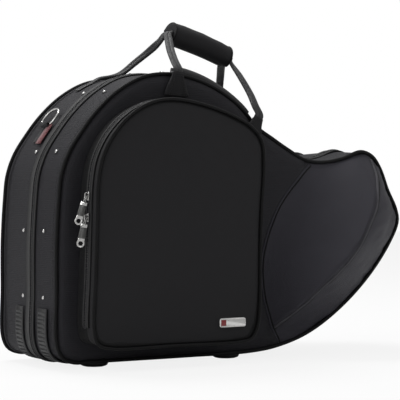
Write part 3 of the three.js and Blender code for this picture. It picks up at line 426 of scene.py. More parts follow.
def walk(first, last, spacing, *place):
    """Frames at equal steps along a wall, from one number to another."""
    frames, travelled, previous = [], 0.0, None
    steps = int(abs(last - first) * NUMBER_STEPS)
    for k in range(steps + 1):
        here = wall_frame(first + (last - first) * k / steps, *place)
        if previous is not None:
            travelled += (here.translation - previous).length
        if previous is None or travelled >= spacing:
            frames.append(here)
            travelled = 0.0 if previous is None else travelled - spacing
        previous = here.translation
    return frames


def beads(frames, reach):
    """One rounded bead at each frame, reaching so far along, out and across."""
    one = bmesh.new()
    bmesh.ops.create_uvsphere(one, u_segments=6, v_segments=4, radius=1.0)
    return repeated(one, [here @ Matrix.Diagonal((*reach, 1)) for here in frames])


def repeated(one, frames):
    """The same small shape at each frame, all in one mesh."""
    pattern = bpy.data.meshes.new("pattern")
    one.to_mesh(pattern)
    one.free()
    work = bmesh.new()
    for here in frames:
        copy = pattern.copy()
        copy.transform(here)
        work.from_mesh(copy)
        bpy.data.meshes.remove(copy)
    bpy.data.meshes.remove(pattern)
    return work


def swept(section, frames, closed=False, sizes=None):
    """A section of (out, across) points drawn along frames, with its distances kept as attributes.

    A closed run ends on a frame beside its first one, which is left out."""
    if closed:
        frames = frames[:-1]
    if sizes:
        frames = [here @ Matrix.Diagonal((1, *size, 1)) for here, size in zip(frames, sizes)]
    work = bmesh.new()
    along_layer = work.verts.layers.float.new("along")
    across_layer = work.verts.layers.float.new("across")
    ring = []
    for out, across in section:
        vertex = work.verts.new(frames[0] @ Vector((0, out, across)))
        vertex[across_layer] = across
        ring.append(vertex)
    edges = [work.edges.new(pair) for pair in zip(ring, ring[1:] + ring[:1])]
    first_edges, travelled = edges, 0.0
    for before, here in zip(frames, frames[1:]):
        travelled += (here.translation - before.translation).length
        made = bmesh.ops.extrude_edge_only(work, edges=edges)["geom"]
        fresh = [part for part in made if isinstance(part, bmesh.types.BMVert)]
        edges = [part for part in made if isinstance(part, bmesh.types.BMEdge)]
        for vertex in fresh:
            vertex[along_layer] = travelled
        bmesh.ops.transform(work, matrix=here @ before.inverted(), verts=fresh)
    if closed:
        bmesh.ops.bridge_loops(work, edges=first_edges + edges)
    else:
        bmesh.ops.edgeloop_fill(work, edges=first_edges)
        bmesh.ops.edgeloop_fill(work, edges=edges)
    bmesh.ops.recalc_face_normals(work, faces=work.faces)
    return work


def cord_along(frames, radius, sides, closed=False):
    turns = [math.tau * k / sides for k in range(sides)]
    return swept([(radius * math.cos(turn), radius * math.sin(turn)) for turn in turns], frames, closed)


def in_millimetres(points):
    return [(out * MILLIMETRE, across * MILLIMETRE) for out, across in points]


# Edge piping: a cord sewn into a satin strip along each outer edge of the case, with a rolled
# edge of nylon on the wall beside it, and the row of stitches that holds both.
PIPING_RADIUS, PIPING_PLACE, PIPING_STEP = 2.9 * MILLIMETRE, (-0.0010, 0.0015), 6 * MILLIMETRE
FLANGE, FLANGE_PLACE = in_millimetres([(0.6, -0.8), (0.6, 0.8), (-9.5, 0.8), (-9.5, -0.8)]), (0.0012, 0.0)
ROLL_RADIUS, ROLL_PLACE = 3.4 * MILLIMETRE, (0.0078, -0.0018)
STITCH, STITCH_PITCH, STITCH_PLACE = (0.0014, 0.0004, 0.0004), 4.2 * MILLIMETRE, (0.0135, 0.0002)


def cord_cover(name, dark, light, pitch, roughness):
    """A tightly woven cover or thread, with very little shine."""
    material, wire = new_material(name)
    weave, cloud = woven_height(wire, pitch), clouds(wire, 70.0)
    coated(
        wire, dark, light, weave * 0.1 + cloud * 0.8, cloud * 0.2 + roughness, (weave + cloud, 0.0001, 0.4),
        {"Sheen Weight": 0.02, "Specular IOR Level": 0.14},
    )
    return material


def round_edge(word, spacing, inset, lift):
    """Frames all round one outer edge of the case, at an inset from it."""
    return walk(0, len(OUTLINE), spacing, HALVES[word][0] * (HALF_DEPTHS[word] - inset), lift)


piping_cover = cord_cover("piping_cover", (0.003, 0.003, 0.003), (0.009, 0.009, 0.010), 0.0011, 0.45)
thread = cord_cover("thread", (0.03, 0.03, 0.03), (0.075, 0.075, 0.078), 0.0004, 0.5)


def sewn(frames, name, body, slot, stitch=STITCH):
    """A row of stitches, one at each frame."""
    piece(beads(frames, stitch), name, body, thread, slot)


for word, (_, body) in HALVES.items():
    cord = cord_along(round_edge(word, PIPING_STEP, *PIPING_PLACE), PIPING_RADIUS, 12, closed=True)
    piece(cord, f"{word}_piping_cord", body, piping_cover, "piping", f"{word}_piping")
    flange = swept(FLANGE, round_edge(word, PIPING_STEP, *FLANGE_PLACE), closed=True)
    piece(flange, f"{word}_piping_flange", body, piping_cover, "piping")
    roll = cord_along(round_edge(word, PIPING_STEP, *ROLL_PLACE), ROLL_RADIUS, 12, closed=True)
    piece(roll, f"{word}_rolled_edge", body, ballistic, "ballistic")
    sewn(round_edge(word, STITCH_PITCH, *STITCH_PLACE), f"{word}_edge_stitches", body, "piping")


# Bell seams: where the panel meets the bell flare the cloths are joined by a flat felled seam, and
# the flare's rim carries a thicker welt over a cord, its cover made light grey as a painted highlight.
# Both lie on the front of the lid and on the back of the base, each with a near-black cord on one side,
# painted shade where the seam sinks, and a row of stitches on the other.
SEAM_STEP = 4.5 * MILLIMETRE
SEAM_LEAST_FACING = 0.12
WELT = [(-0.6, -1.5), (0.35, -1.425), (0.8, -0.75), (1.0, 0), (0.8, 0.75), (0.35, 1.425), (-0.6, 1.5)]
SEAM_SHADE_RADIUS = 1.3 * MILLIMETRE
BESIDE_SEAM = (0, 0.0003, -0.0026), (0, 0.0002, 0.0046)


def seam_walk(points, word):
    """Frames along a seam table, laid on the shell's front or back."""
    side = HALVES[word][0]
    guide = [Vector(on_case(across, up)) for across, up in points]
    guide = [2 * guide[0] - guide[1], *guide, 2 * guide[-1] - guide[-2]]
    spots, previous = [], None
    steps = (len(points) - 1) * NUMBER_STEPS
    for k in range(steps + 1):
        number = 1 + (len(points) - 1) * k / steps
        x, z = curve_point(guide, min(number, len(points) - 1e-4))
        hit, normal, _, _ = shell_surface[word].ray_cast(Vector((x, side, z)), Vector((0, -side, 0)))
        if hit is None or abs(normal.y) < SEAM_LEAST_FACING:
            continue
        if previous is None or (hit - previous).length >= SEAM_STEP:
            spots.append((hit, normal))
            previous = hit
    return [
        frame_at(here, spots[min(k + 1, len(spots) - 1)][0] - spots[max(k - 1, 0)][0], normal)
        for k, (here, normal) in enumerate(spots)
    ]


# The rim welt's cover is light grey as a painted highlight along the rim's ridge.
rim_highlight_cover = cord_cover("rim_piping_painted_highlight", (0.035, 0.034, 0.040), (0.100, 0.098, 0.108), 0.0011, 0.4)
for word, (_, body) in HALVES.items():
    for name, points, radius, cover in (
        ("bell_seam", BELL_SEAM, 0.0013, bell_cloth), ("rim_welt", RIM_SEAM, 0.0019, rim_highlight_cover),
    ):
        line = seam_walk(points, word)
        welt = swept([(out * radius, across * radius) for out, across in WELT], line)
        piece(smoothed(welt, 1), f"{word}_{name}", body, cover, "ballistic")
        # The near-black cord beside each seam is painted shade, standing for the dark of the seam's groove.
        seam_shade_cord, stitches = ([here @ Matrix.Translation(move) for here in line] for move in BESIDE_SEAM)
        seam_shade_cord = cord_along(seam_shade_cord, SEAM_SHADE_RADIUS, 6)
        piece(seam_shade_cord, f"{word}_{name}_gutter", body, piping_cover, "ballistic")
        sewn(stitches, f"{word}_{name}_stitches", body, "piping")


# Main zipper: a woven tape on each half, sewn down by two rows of stitches, with a near-black cord
# along its outer edge as painted shade in the gap there, and a nylon coil over a cord along its
# inner edge. The two coils' turns meet.
ZIPPER_ENDS, ZIPPER_STEP = (37.02, 71.78), 6 * MILLIMETRE
TAPE_WIDTHS = {"front": 9, "back": 17}
TOOTH_PITCH = 2.3 * MILLIMETRE
TOOTH = (0.0008, 0.0009, 0.0015)
TOOTH_ACROSS, TOOTH_LIFT = 1.6 * MILLIMETRE, 2.2 * MILLIMETRE
CORE_RADIUS, CORE_ACROSS, CORE_LIFT = 0.6 * MILLIMETRE, 1.0 * MILLIMETRE, 2.6 * MILLIMETRE
SHADE_CORD_OVERHANG, SHADE_CORD_LIFT = 0.6 * MILLIMETRE, 0.6 * MILLIMETRE
TAPE_GAP = 0.3 * MILLIMETRE
FINE_STITCH = (0.0012, 0.0003, 0.0003)
FINE_PITCH, FINE_LIFT = 3.6 * MILLIMETRE, 1.4 * MILLIMETRE

tape_weave, wire = new_material("zipper_tape")
along = wire.node("ShaderNodeAttribute", {"attribute_name": "along"}, output="Fac")
across = wire.node("ShaderNodeAttribute", {"attribute_name": "across"}, output="Fac")
ribs, cloud = waves(along, 0.0011) * 0.5 + waves(across, 0.0009), clouds(wire, 40.0)
coated(
    wire, (0.0045, 0.0045, 0.005), (0.014, 0.014, 0.0155), ribs * 0.12 + cloud * 0.7, cloud * 0.2 + 0.5,
    (ribs, 0.00012, 0.7), {"Sheen Weight": 0.06},
)
coil_nylon, wire = new_material("coil_nylon")
cloud = clouds(wire, 220.0, 2.0)
coated(wire, (0.03, 0.03, 0.032), (0.09, 0.09, 0.095), cloud, cloud * 0.2 + 0.22)


def tape_section(side, width):
    """A zipper tape's section: thin, with a raised bed under the coil and a folded outer edge."""
    shape = [(0.3, width), (0.3, 0.5), (1.9, 0.5), (2.2, 1.6), (1.9, 2.7), (1.3, 3.2), (1.3, width - 1.6),
             (1.6, width - 0.8)]
    return in_millimetres([(out, side * across) for out, across in shape])


def zipper_side(word, tape, node, body, side, width, ends, step, shade_cord_radius, rows, parting=0.0, wall=()):
    """One side of a zipper: its tape of a width in millimetres, coil, core, a near-black border cord
    that is painted shade at the tape's edge, and stitches.
    """
    def course(spacing, across, lift):
        return walk(*ends, spacing, parting + side * across, lift, *wall)

    slot = "zipper_tape"
    band = swept(tape_section(-side, width), course(step, TAPE_GAP, 0.0))
    piece(band, tape, body, tape_weave, slot, node)
    core = cord_along(course(step, CORE_ACROSS, CORE_LIFT), CORE_RADIUS, 6)
    piece(core, f"{word}_coil_core", body, piping_cover, slot)
    # The border cord is near-black painted shade along the tape's outer edge.
    border = course(step, width * MILLIMETRE + SHADE_CORD_OVERHANG, SHADE_CORD_LIFT)
    piece(cord_along(border, shade_cord_radius, 8), f"{word}_tape_edge_shade", body, piping_cover, slot)
    coil = beads(course(TOOTH_PITCH, TOOTH_ACROSS, TOOTH_LIFT), TOOTH)
    piece(coil, f"{word}_coil", body, coil_nylon, slot)
    for ending, inset in rows.items():
        seam = course(FINE_PITCH, inset * MILLIMETRE, FINE_LIFT)
        sewn(seam, f"{word}_tape_stitches{ending}", body, slot, FINE_STITCH)


for word, (side, body) in HALVES.items():
    width = TAPE_WIDTHS[word]
    zipper_side(
        word, f"{word}_tape", f"{word}_zipper_tape", body, side, width, ZIPPER_ENDS, ZIPPER_STEP,
        1.4 * MILLIMETRE, {"_1": 4.2, "_2": width - 1.6},
    )


# Bottom hinge: a strip of webbing sewn along the flat of each half's bottom, over one thin flat strip
# that runs across the parting and is left on no body.
FOLD_MIDDLE, FOLD_LIFT, FOLD_THICKNESS = -0.1123, 0.0062, 0.0007
FOLD_HALF_LENGTH, FOLD_HALF_WIDTH = 0.1455, 0.0115


def finer(node, levels, sharp=40, amount=0.8, flat=60):
    """A rounded copy of a CAD node, with its hard corners kept."""
    work = joined_copy(node, flat)
    crease(work, sharp, amount)
    return smoothed(work, levels)


webbing = fabric(
    "webbing", (0.010, 0.010, 0.011), (0.030, 0.030, 0.032), 0.0013, 0.0003, 0.5, ribs=0.2, sheen=0.08,
)
for word, (_, body) in HALVES.items():
    node = f"{word}_hinge_tape"
    piece(finer(node, 1), f"{word}_hinge_strip", body, webbing, "webbing", node)

fold = bmesh.new()
fold_place = Matrix.Translation((FOLD_MIDDLE, PARTING, FOLD_LIFT))
fold_place @= Matrix.Diagonal((FOLD_HALF_LENGTH, FOLD_HALF_WIDTH, 1, 1))
bmesh.ops.create_grid(fold, x_segments=60, y_segments=20, size=1.0, matrix=fold_place)
bmesh.ops.solidify(fold, geom=fold.faces, thickness=-FOLD_THICKNESS)
fold = piece(fold, "hinge_fold", None, webbing, "webbing")
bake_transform(fold)


# Bumpers: strips of ribbed moulded rubber, sewn over the lower left corner and over the top of
# each half. The ribs run across the strip like the rungs of a ladder. The top strips are thicker
# at their left end.
BUMPERS = {
    "corner": ((37.03, 40.71), {"front": (-0.050, -0.021), "back": (0.027, 0.052)}, 3.0),
    "top": ((13.2, 16.45), {"front": (-0.072, -0.047), "back": (0.080, 0.105)}, 9.5),
}
BUMPER_STEP, RUNG_PITCH = 4 * MILLIMETRE, 6.2 * MILLIMETRE
RUNG_HALF_LENGTH, RUNG_SINK, RUNG_SPAN_SHARE = 1.9 * MILLIMETRE, 0.3 * MILLIMETRE, 0.8
THICK_END_SHARES = {"corner": 0, "top": 0.45}


def eased(work, edges, offset):
    """Small rounds along the edges."""
    bmesh.ops.bevel(work, geom=edges, offset=offset, segments=2, affect="EDGES", profile=0.5, material=-1)


rubber, wire = new_material("moulded_rubber")
cloud, grain = clouds(wire, 45.0, 4.0), clouds(wire, 700.0, 2.0)
coated(
    wire, (0.007, 0.007, 0.008), (0.026, 0.026, 0.027), cloud * 0.7 + grain * 0.2, cloud * 0.25 + 0.36,
    (grain, 0.0001, 0.5),
)
for spot, (numbers, depths, thickness) in BUMPERS.items():
    for word, (_, body) in HALVES.items():
        low, high = depths[word]
        middle, half = (low + high) / 2, (high - low) / 2
        edge = [(0.3, -1.0), (thickness * 0.7, -1.0), (thickness, -0.9), (thickness, -0.76),
                (thickness * 0.6, -0.7)]
        section = [(out * MILLIMETRE, share * half) for out, share in edge]
        section += [(out, -across) for out, across in reversed(section)]
        course = walk(*numbers, BUMPER_STEP, middle, 0.0)
        thicker = [THICK_END_SHARES[spot] * (1 - k / len(course)) ** 1.5 for k in range(len(course))]
        strip = swept(section, course, sizes=[(1 + more, 1) for more in thicker])
        rung = bmesh.new()
        bmesh.ops.create_cube(rung, size=2.0)
        eased(rung, rung.edges, 0.35)
        height = (thickness - 0.1) * MILLIMETRE / 2
        rungs = repeated(rung, [
            here @ Matrix.Diagonal((RUNG_HALF_LENGTH, height, half * RUNG_SPAN_SHARE, 1))
            for here in walk(*numbers, RUNG_PITCH, middle, RUNG_SINK + height)[1:-1]
        ])
        ladder = bpy.data.meshes.new("rungs")
        rungs.to_mesh(ladder)
        rungs.free()
        strip.from_mesh(ladder)
        bpy.data.meshes.remove(ladder)
        piece(strip, f"{word}_{spot}_guard", body, rubber, "rubber", f"{word}_{spot}_bumper")


# Rivets: domed nickel heads that hold the wall's fabric to the board behind it, four on each half
# along the left end and over the shoulder. Each is pressed into a thin rubber washer.
RIVET_NUMBERS = (2.9, 4.31, 7.07, 10.2)
RIVET_DEPTHS = {"front": -0.035, "back": 0.031}
HEAD_PROFILE = [(0.0, 2.1), (1.0, 2.0), (1.9, 1.6), (2.5, 0.9), (2.7, 0.3)]
WASHER_PROFILE = [(0.0, 0.5), (2.9, 0.9), (3.6, 0.7), (4.2, 0.0)]
RIVET_SIDES = 20
STANDING = Matrix.Rotation(-math.pi / 2, 4, "X")

nickel, wire = new_material("nickel_plate")
cloud, scuff = clouds(wire, 60.0), clouds(wire, 900.0, 4.0)
coated(
    wire, (0.60, 0.60, 0.59), (0.78, 0.77, 0.75), cloud, cloud * 0.15 + 0.14, (scuff, 0.00004, 0.3),
    {"Metallic": 1.0},
)


def turned(profile, depth, lift):
    """A small part spun from its (across, out) profile, at each rivet's place along a wall."""
    work = bmesh.new()
    points = [work.verts.new((across, 0, out)) for across, out in in_millimetres(profile)]
    chain = [work.edges.new(pair) for pair in zip(points, points[1:])]
    bmesh.ops.spin(
        work, geom=points + chain, cent=(0, 0, 0), axis=(0, 0, 1), angle=math.tau, steps=RIVET_SIDES,
        use_merge=True,
    )
    bmesh.ops.remove_doubles(work, verts=work.verts, dist=SMALL_WELD)
    bmesh.ops.recalc_face_normals(work, faces=work.faces)
    return repeated(work, [wall_frame(number, depth, lift) @ STANDING for number in RIVET_NUMBERS])


for word, (_, body) in HALVES.items():
    depth = RIVET_DEPTHS[word]
    nodes = [f"{word}_rivet_{k + 1}" for k in range(len(RIVET_NUMBERS))]
    piece(turned(HEAD_PROFILE, depth, 0.4 * MILLIMETRE), f"{word}_rivets", body, nickel, "nickel", *nodes)
    washers = turned(WASHER_PROFILE, depth, 0.2 * MILLIMETRE)
    piece(washers, f"{word}_rivet_washers", body, rubber, "rubber")


# Feet: domed discs of the same rubber as the bumpers, two under each half. Each is screwed up
# through its middle into the board of the bottom.
for word, (_, body) in HALVES.items():
    for hand in ("left", "right"):
        foot = finer(f"{word}_foot_{hand}", 2, sharp=50, amount=0.4, flat=20)
        piece(foot, f"{word}_{hand}_rubber_foot", body, rubber, "rubber", f"{word}_foot_{hand}")


# Handle straps: broad webbing rolled into a round cord, one on each half, sewn flat under a patch
# on the lid's front and flat on the base's wall. Stations are shares of length, depth and height.
def shares_at(word):
    """Turns shares of the case's length, of one half's depth and of its height into a place."""
    def place(across, back, up):
        x, z = on_case(across, up)
        return Vector((x, PARTING + back * HALF_DEPTHS[word], z))

    return place


beside_lid, beside_base = shares_at("front"), shares_at("back")
GRIP_START = beside_lid(0.381, 0, 1.1636)
GRIP_ALONG = Vector((1, 0, -0.255)).normalized()
GRIP_UP = GRIP_ALONG.cross(Vector((0, 1, 0)))
GRIP_LENGTH, STRAP_SPACING = 114, 15
WRAP_SPAN = (-4, 111)
BOW_RISE, BOW_DROP, BOW_PULL = 1.2 * MILLIMETRE, 7.2 * MILLIMETRE, 3.5 * MILLIMETRE
STRAP_STEPS = 110
FLATTENING, WIDENING = 0.62, 0.26
FORWARD = (0, -1, 0)
LID_FRONT, BASE_STRAP_DEPTH = -0.0844, 0.075
STRAP_LIFT, PATCH_LIFT = 1.4 * MILLIMETRE, 4.6 * MILLIMETRE
PATCHES = {
    "left": ((0.3175, 1.0117), 0.05, 19.0, 38.0),
    "right": ((0.5524, 0.8575), 0.42, 17.5, 27.0),
}
ROLLED = [
    (0.0, -6.7), (-1.7, -6.3), (-2.8, -4.7), (-3.0, -2.0), (-3.0, 1.5), (-2.8, 4.4), (-1.8, 6.2),
    (0.0, 6.7), (1.8, 6.3), (2.75, 4.9), (3.0, 2.6), (3.0, 1.2), (2.35, 0.8), (2.4, -0.6),
    (2.9, -1.1), (2.9, -4.4), (1.8, -6.2),
]
STRAP_GROOVE, GROOVE_ACROSS = 2.75 * MILLIMETRE, 0.2 * MILLIMETRE


def bowed(point):
    """The grip bends down a little towards the bell end."""
    share = min(1.1, max(0, (point - GRIP_START).dot(GRIP_ALONG) / (GRIP_LENGTH * MILLIMETRE)))
    return point + GRIP_UP * (BOW_RISE - BOW_DROP * share ** 3) - GRIP_ALONG * BOW_PULL * share


def in_grip(along, back, up):
    """A place given in millimetres along the grip, behind its middle and above it."""
    return bowed(GRIP_START + (GRIP_ALONG * along + Vector((0, back, 0)) + GRIP_UP * up) * MILLIMETRE)


def strap_frames(stations):
    """Frames along a strap, and its thickness and width there as shares of the rolled ones."""
    centres = [Vector(station[0]) for station in stations]
    ends = [2 * centres[0] - centres[1], *centres, 2 * centres[-1] - centres[-2]]
    last = len(stations) - 1
    stop = last + 0.9999
    frames, sizes = [], []
    for k in range(STRAP_STEPS + 1):
        number = last * k / STRAP_STEPS
        low = min(int(number), last - 1)
        share = number - low
        across = Vector(stations[low][1]).lerp(Vector(stations[low + 1][1]), share)
        ahead = curve_point(ends, min(1 + number + AHEAD, stop))
        behind = curve_point(ends, max(1 + number - AHEAD, 1))
        along = (ahead - behind).normalized()
        frames.append(frame_at(curve_point(ends, min(1 + number, stop)), along, across.cross(along)))
        flat = [station[2] if len(station) > 2 else 0 for station in stations[low:low + 2]]
        flatness = flat[0] * (1 - share) + flat[1] * share
        sizes.append((1 - FLATTENING * flatness, 1 + WIDENING * flatness))
    return frames, sizes


def patch_frame(hand):
    """x across a patch, y into the lid and z up along it."""
    (across, up), lean, _, _ = PATCHES[hand]
    x, z = on_case(across, up)
    return Matrix.Translation((x, PARTING, z)) @ Matrix.Rotation(lean, 4, "Y")


def sewn_stations(hand):
    drop = PATCHES[hand][3]
    here = patch_frame(hand)
    across = here.to_3x3() @ Vector((1, 0, 0))
    return [
        (here @ Vector((0, LID_FRONT - STRAP_LIFT, up * MILLIMETRE)), across, 1)
        for up in (-drop + 5.3, -drop / 2, -2.2, 4.4)
    ]


def grip_stations(back):
    places = (WRAP_SPAN[0] - 2, 4, GRIP_LENGTH / 3, GRIP_LENGTH * 2 / 3, GRIP_LENGTH - 10, WRAP_SPAN[1] + 3)
    return [(in_grip(along, back, 0), FORWARD) for along in places]


def on_base_wall(number, lift):
    return wall_frame(number, BASE_STRAP_DEPTH, lift * MILLIMETRE).translation, FORWARD, 1


strap_weave, wire = new_material("strap_webbing")
along = wire.node("ShaderNodeAttribute", {"attribute_name": "along"}, output="Fac")
across = wire.node("ShaderNodeAttribute", {"attribute_name": "across"}, output="Fac")
wales, cloud = waves(across, 0.0022), clouds(wire, 60.0)
weave = wales * waves(along, 0.0014)
coated(
    wire, (0.009, 0.009, 0.010), (0.031, 0.031, 0.033), weave * 0.14 + cloud * 0.75, cloud * 0.2 + 0.42,
    (weave + wales * 0.5, 0.00025, 0.7), {"Sheen Weight": 0.08},
)
half_gap = STRAP_SPACING / 2
front_stations = [
    *sewn_stations("left"),
    (beside_lid(0.3222, -0.96, 1.0491), (0.98, -0.2, 0)),
    (beside_lid(0.3320, -0.6667, 1.0911), (0.95, -0.3, 0)),
    (beside_lid(0.351, -0.32, 1.134), (0.85, -0.5, 0)),
    (in_grip(-11, -half_gap - 2, -5), (0.6, -0.8, 0)),
    *grip_stations(-half_gap),
    (in_grip(GRIP_LENGTH + 1, -half_gap - 3, -6), (-0.6, -0.8, 0)),
    (beside_lid(0.5455, -0.52, 1.016), (-0.95, -0.3, 0)),
    (beside_lid(0.5510, -0.86, 0.944), (-1, -0.1, 0)),
    (beside_lid(0.5500, -1.07, 0.897), (-1, 0, 0)),
    *[(centre, -across, flat) for centre, across, flat in reversed(sewn_stations("right"))],
]
back_stations = [
    *[on_base_wall(number, 1.9) for number in (10.5, 10.75, 11, 11.2)],
    (beside_base(0.2413, 0.6944, 1.004), FORWARD),
    (beside_base(0.273, 0.6944, 1.013), FORWARD),
    (beside_base(0.2996, 0.6574, 1.0255), (0.1, -0.9, -0.25)),
    (beside_base(0.3288, 0.5463, 1.0660), (0.15, -0.85, -0.35)),
    (beside_base(0.3500, 0.3704, 1.1040), (0.15, -0.85, -0.35)),
    (in_grip(-11, half_gap + 6, -15), (0.1, -0.95, -0.2)),
    *grip_stations(half_gap),
    (in_grip(GRIP_LENGTH - 1, half_gap + 4, -8), (0.3, -0.95, 0)),
    (beside_base(0.5683, 0.3704, 1.0304), (0.4, -0.92, 0)),
    (beside_base(0.5889, 0.5926, 0.9626), (0.3, -0.95, 0)),
    (beside_base(0.5984, 0.6852, 0.8692), FORWARD),
    on_base_wall(18.3, 3.4), on_base_wall(18.6, 1.9), on_base_wall(18.9, 1.9),
]
for word, stations in (("front", front_stations), ("back", back_stations)):
    frames, sizes = strap_frames(stations)
    body = HALVES[word][1]
    rope = smoothed(swept(in_millimetres(ROLLED), frames, sizes=sizes), 1)
    piece(rope, f"{word}_strap", body, strap_weave, "webbing", f"{word}_handle")
    seam = [
        here @ Matrix.Translation((0, STRAP_GROOVE * thickness, GROOVE_ACROSS * width))
        for here, (thickness, width) in zip(frames[3:-3], sizes[3:-3])
    ]
    sewn(seam, f"{word}_strap_stitches", body, "webbing")


# Patches: padded tabs of smooth fabric, wider at the foot, sewn over the ends of the front strap
# with a double row of stitches round the border. The left one spreads like a bell below its neck.
PATCH_SIDE_SHARES = [(0, 0.48), (0.4, 0.55), (0.75, 0.8), (1, 1)]
PATCH_ROWS, PATCH_MIDDLE_SHARE = (0.86, 0.74), 0.55
PATCH_STITCH, PATCH_PITCH = (0.0011, 0.0004, 0.0004), 3.2
RIGHT_PATCH_SHIFT = (0.0020, 0, -0.0060)
SPREAD_LENGTH_SHARE = 0.62
SPREADS = {"outer": (0.55, -0.36), "inner": (0.34, -0.22)}

soft_fabric, wire = new_material("smooth_fabric")
weave, cloud, fuzz = woven_height(wire, 0.0009), clouds(wire, 22.0, 4.0, 0.6), clouds(wire, 1200.0, 2.0)
coated(
    wire, (0.0070, 0.0068, 0.0078), (0.0172, 0.0168, 0.0188), weave * 0.08 + cloud * 0.6 + fuzz * 0.2,
    cloud * 0.2 + 0.6, (weave * 0.5 + fuzz, 0.00014, 0.5), {"Sheen Weight": 0.03, "Specular IOR Level": 0.25},
)


def spread_out(tab, hand, drop):
    """Widens a patch below its neck, more on its outer side."""
    here = patch_frame(hand)
    back = here.inverted()
    for vertex in tab.verts:
        spot = back @ vertex.co
        down = min(1, max(0, -spot.z / (drop * MILLIMETRE)))
        spread = min(1, down / SPREAD_LENGTH_SHARE)
        spread *= spread * (3 - 2 * spread)
        wider, narrower = SPREADS["outer" if spot.x < 0 else "inner"]
        spot.x *= 1.0 + wider * spread + narrower * down
        vertex.co = here @ spot


def border_stitches(hand, foot, drop):
    """Frames of the stitches in both rows round a patch."""
    side = [Vector((out * foot, -down * drop)) for down, out in PATCH_SIDE_SHARES]
    border = side + [Vector((-point.x, point.y)) for point in reversed(side)]
    middle = Vector((0, -drop * PATCH_MIDDLE_SHARE))
    stitches = []
    for start, end in zip(border, border[1:] + border[:1]):
        for inset in PATCH_ROWS:
            first, last = middle + (start - middle) * inset, middle + (end - middle) * inset
            along = Vector((last.x - first.x, 0, last.y - first.y))
            steps = max(2, int((last - first).length / PATCH_PITCH))
            for k in range(steps):
                spot = first.lerp(last, (k + 0.5) / steps) * MILLIMETRE
                place = Vector((spot.x, LID_FRONT - PATCH_LIFT, spot.y))
                stitches.append(patch_frame(hand) @ frame_at(place, along, Vector(FORWARD)))
    return stitches


for hand, (_, _, foot, drop) in PATCHES.items():
    node = f"handle_patch_{hand}"
    tab = finer(node, 2, sharp=50, amount=0.7)
    if hand == "left":
        spread_out(tab, hand, drop)
    else:
        bmesh.ops.translate(tab, verts=tab.verts, vec=RIGHT_PATCH_SHIFT)
    piece(tab, f"{hand}_strap_patch", "lid", soft_fabric, "smooth_fabric", node)
    stitches = border_stitches(hand, foot, drop)
    sewn(stitches, f"{hand}_patch_stitches", "lid", "smooth_fabric", PATCH_STITCH)


# Grip: a padded sleeve of smooth fabric folded round both straps, with a bound edge at each end
# and a flap underneath that closes it with hook and loop tape.
BINDING_RADII, BINDING_THICKNESS = (0.01995, 0.017575), 1.3 * MILLIMETRE
BINDING_START, BINDING_TURN, BINDING_STEPS = 16, 226, 28
BINDING_INSET = 1.5
SLEEVE_RIPPLES = ((46, 0.0012), (110, 0.0006))
FLAP_MIDDLE, FLAP_STRETCH = GRIP_LENGTH / 2 - 3.5, 0.04


def rippled(point, ripples):
    """Soft unevenness at a point, from pairs of a pitch and a depth."""
    return sum(noise.noise(point * pitch) * depth for pitch, depth in ripples)


sleeve = finer("grip_wrap", 2, sharp=60, amount=0.5, flat=25)
for vertex in sleeve.verts:
    vertex.co = bowed(vertex.co + vertex.normal * rippled(vertex.co, SLEEVE_RIPPLES))
wrapped = piece(sleeve, "grip_sleeve", "lid", soft_fabric, "smooth_fabric", "grip_wrap")

flap = finer("grip_flap", 2, sharp=60, amount=0.5, flat=25)
middle_of_grip = in_grip(FLAP_MIDDLE, 0, 0)
for vertex in flap.verts:
    away = (vertex.co - middle_of_grip).dot(GRIP_ALONG)
    vertex.co = bowed(vertex.co + GRIP_ALONG * away * FLAP_STRETCH)
piece(flap, "grip_underflap", "grip_flap", soft_fabric, "smooth_fabric", "grip_flap")

for hand, along in (("left", WRAP_SPAN[0] + BINDING_INSET), ("right", WRAP_SPAN[1] - BINDING_INSET)):
    rim = []
    for k in range(BINDING_STEPS + 1):
        angle = math.radians(BINDING_START + BINDING_TURN * k / BINDING_STEPS)
        depth, rise = math.cos(angle) * BINDING_RADII[0], math.sin(angle) * BINDING_RADII[1]
        radial = Vector((0, depth, 0)) + GRIP_UP * rise
        rim.append(frame_at(in_grip(along, 0, 0) + radial, GRIP_ALONG.cross(radial), radial))
    binding = cord_along(rim, BINDING_THICKNESS, 8)
    piece(binding, f"{hand}_grip_binding", "lid", piping_cover, "smooth_fabric")


# D-rings: bent nickel wire, each held by a loop of webbing that is sewn to the base's wall, and a
# plain red fabric tab beside the left one.
TAB_SECTION = [(0.4, -8.0), (1.4, -8.2), (1.8, 0), (1.4, 8.2), (0.4, 8.0)]
TAB_ENDS, TAB_STEP, TAB_DEPTH, TAB_LIFT = (7.45, 8.45), 0.003, 0.036, 0.0022

for hand in ("left", "right"):
    loop = finer(f"d_ring_loop_{hand}", 1, sharp=35, amount=0.7)
    piece(loop, f"{hand}_ring_loop", "base", webbing, "webbing", f"d_ring_loop_{hand}")
    ring = finer(f"d_ring_{hand}", 2, sharp=80, amount=0.0, flat=25)
    piece(ring, f"{hand}_d_ring", f"d_ring_{hand}", nickel, "nickel", f"d_ring_{hand}")

red_weave, wire = new_material("red_label_weave")
weave, cloud = woven_height(wire, 0.0012), clouds(wire, 160.0)
coated(
    wire, (0.05, 0.004, 0.006), (0.26, 0.045, 0.055), weave * 0.15 + cloud, cloud * 0.2 + 0.6,
    (weave, 0.0002, 0.7), {"Sheen Weight": 0.3},
)
tab = swept(in_millimetres(TAB_SECTION), walk(*TAB_ENDS, TAB_STEP, TAB_DEPTH, TAB_LIFT))
piece(tab, "red_tab", "base", red_weave, "webbing")
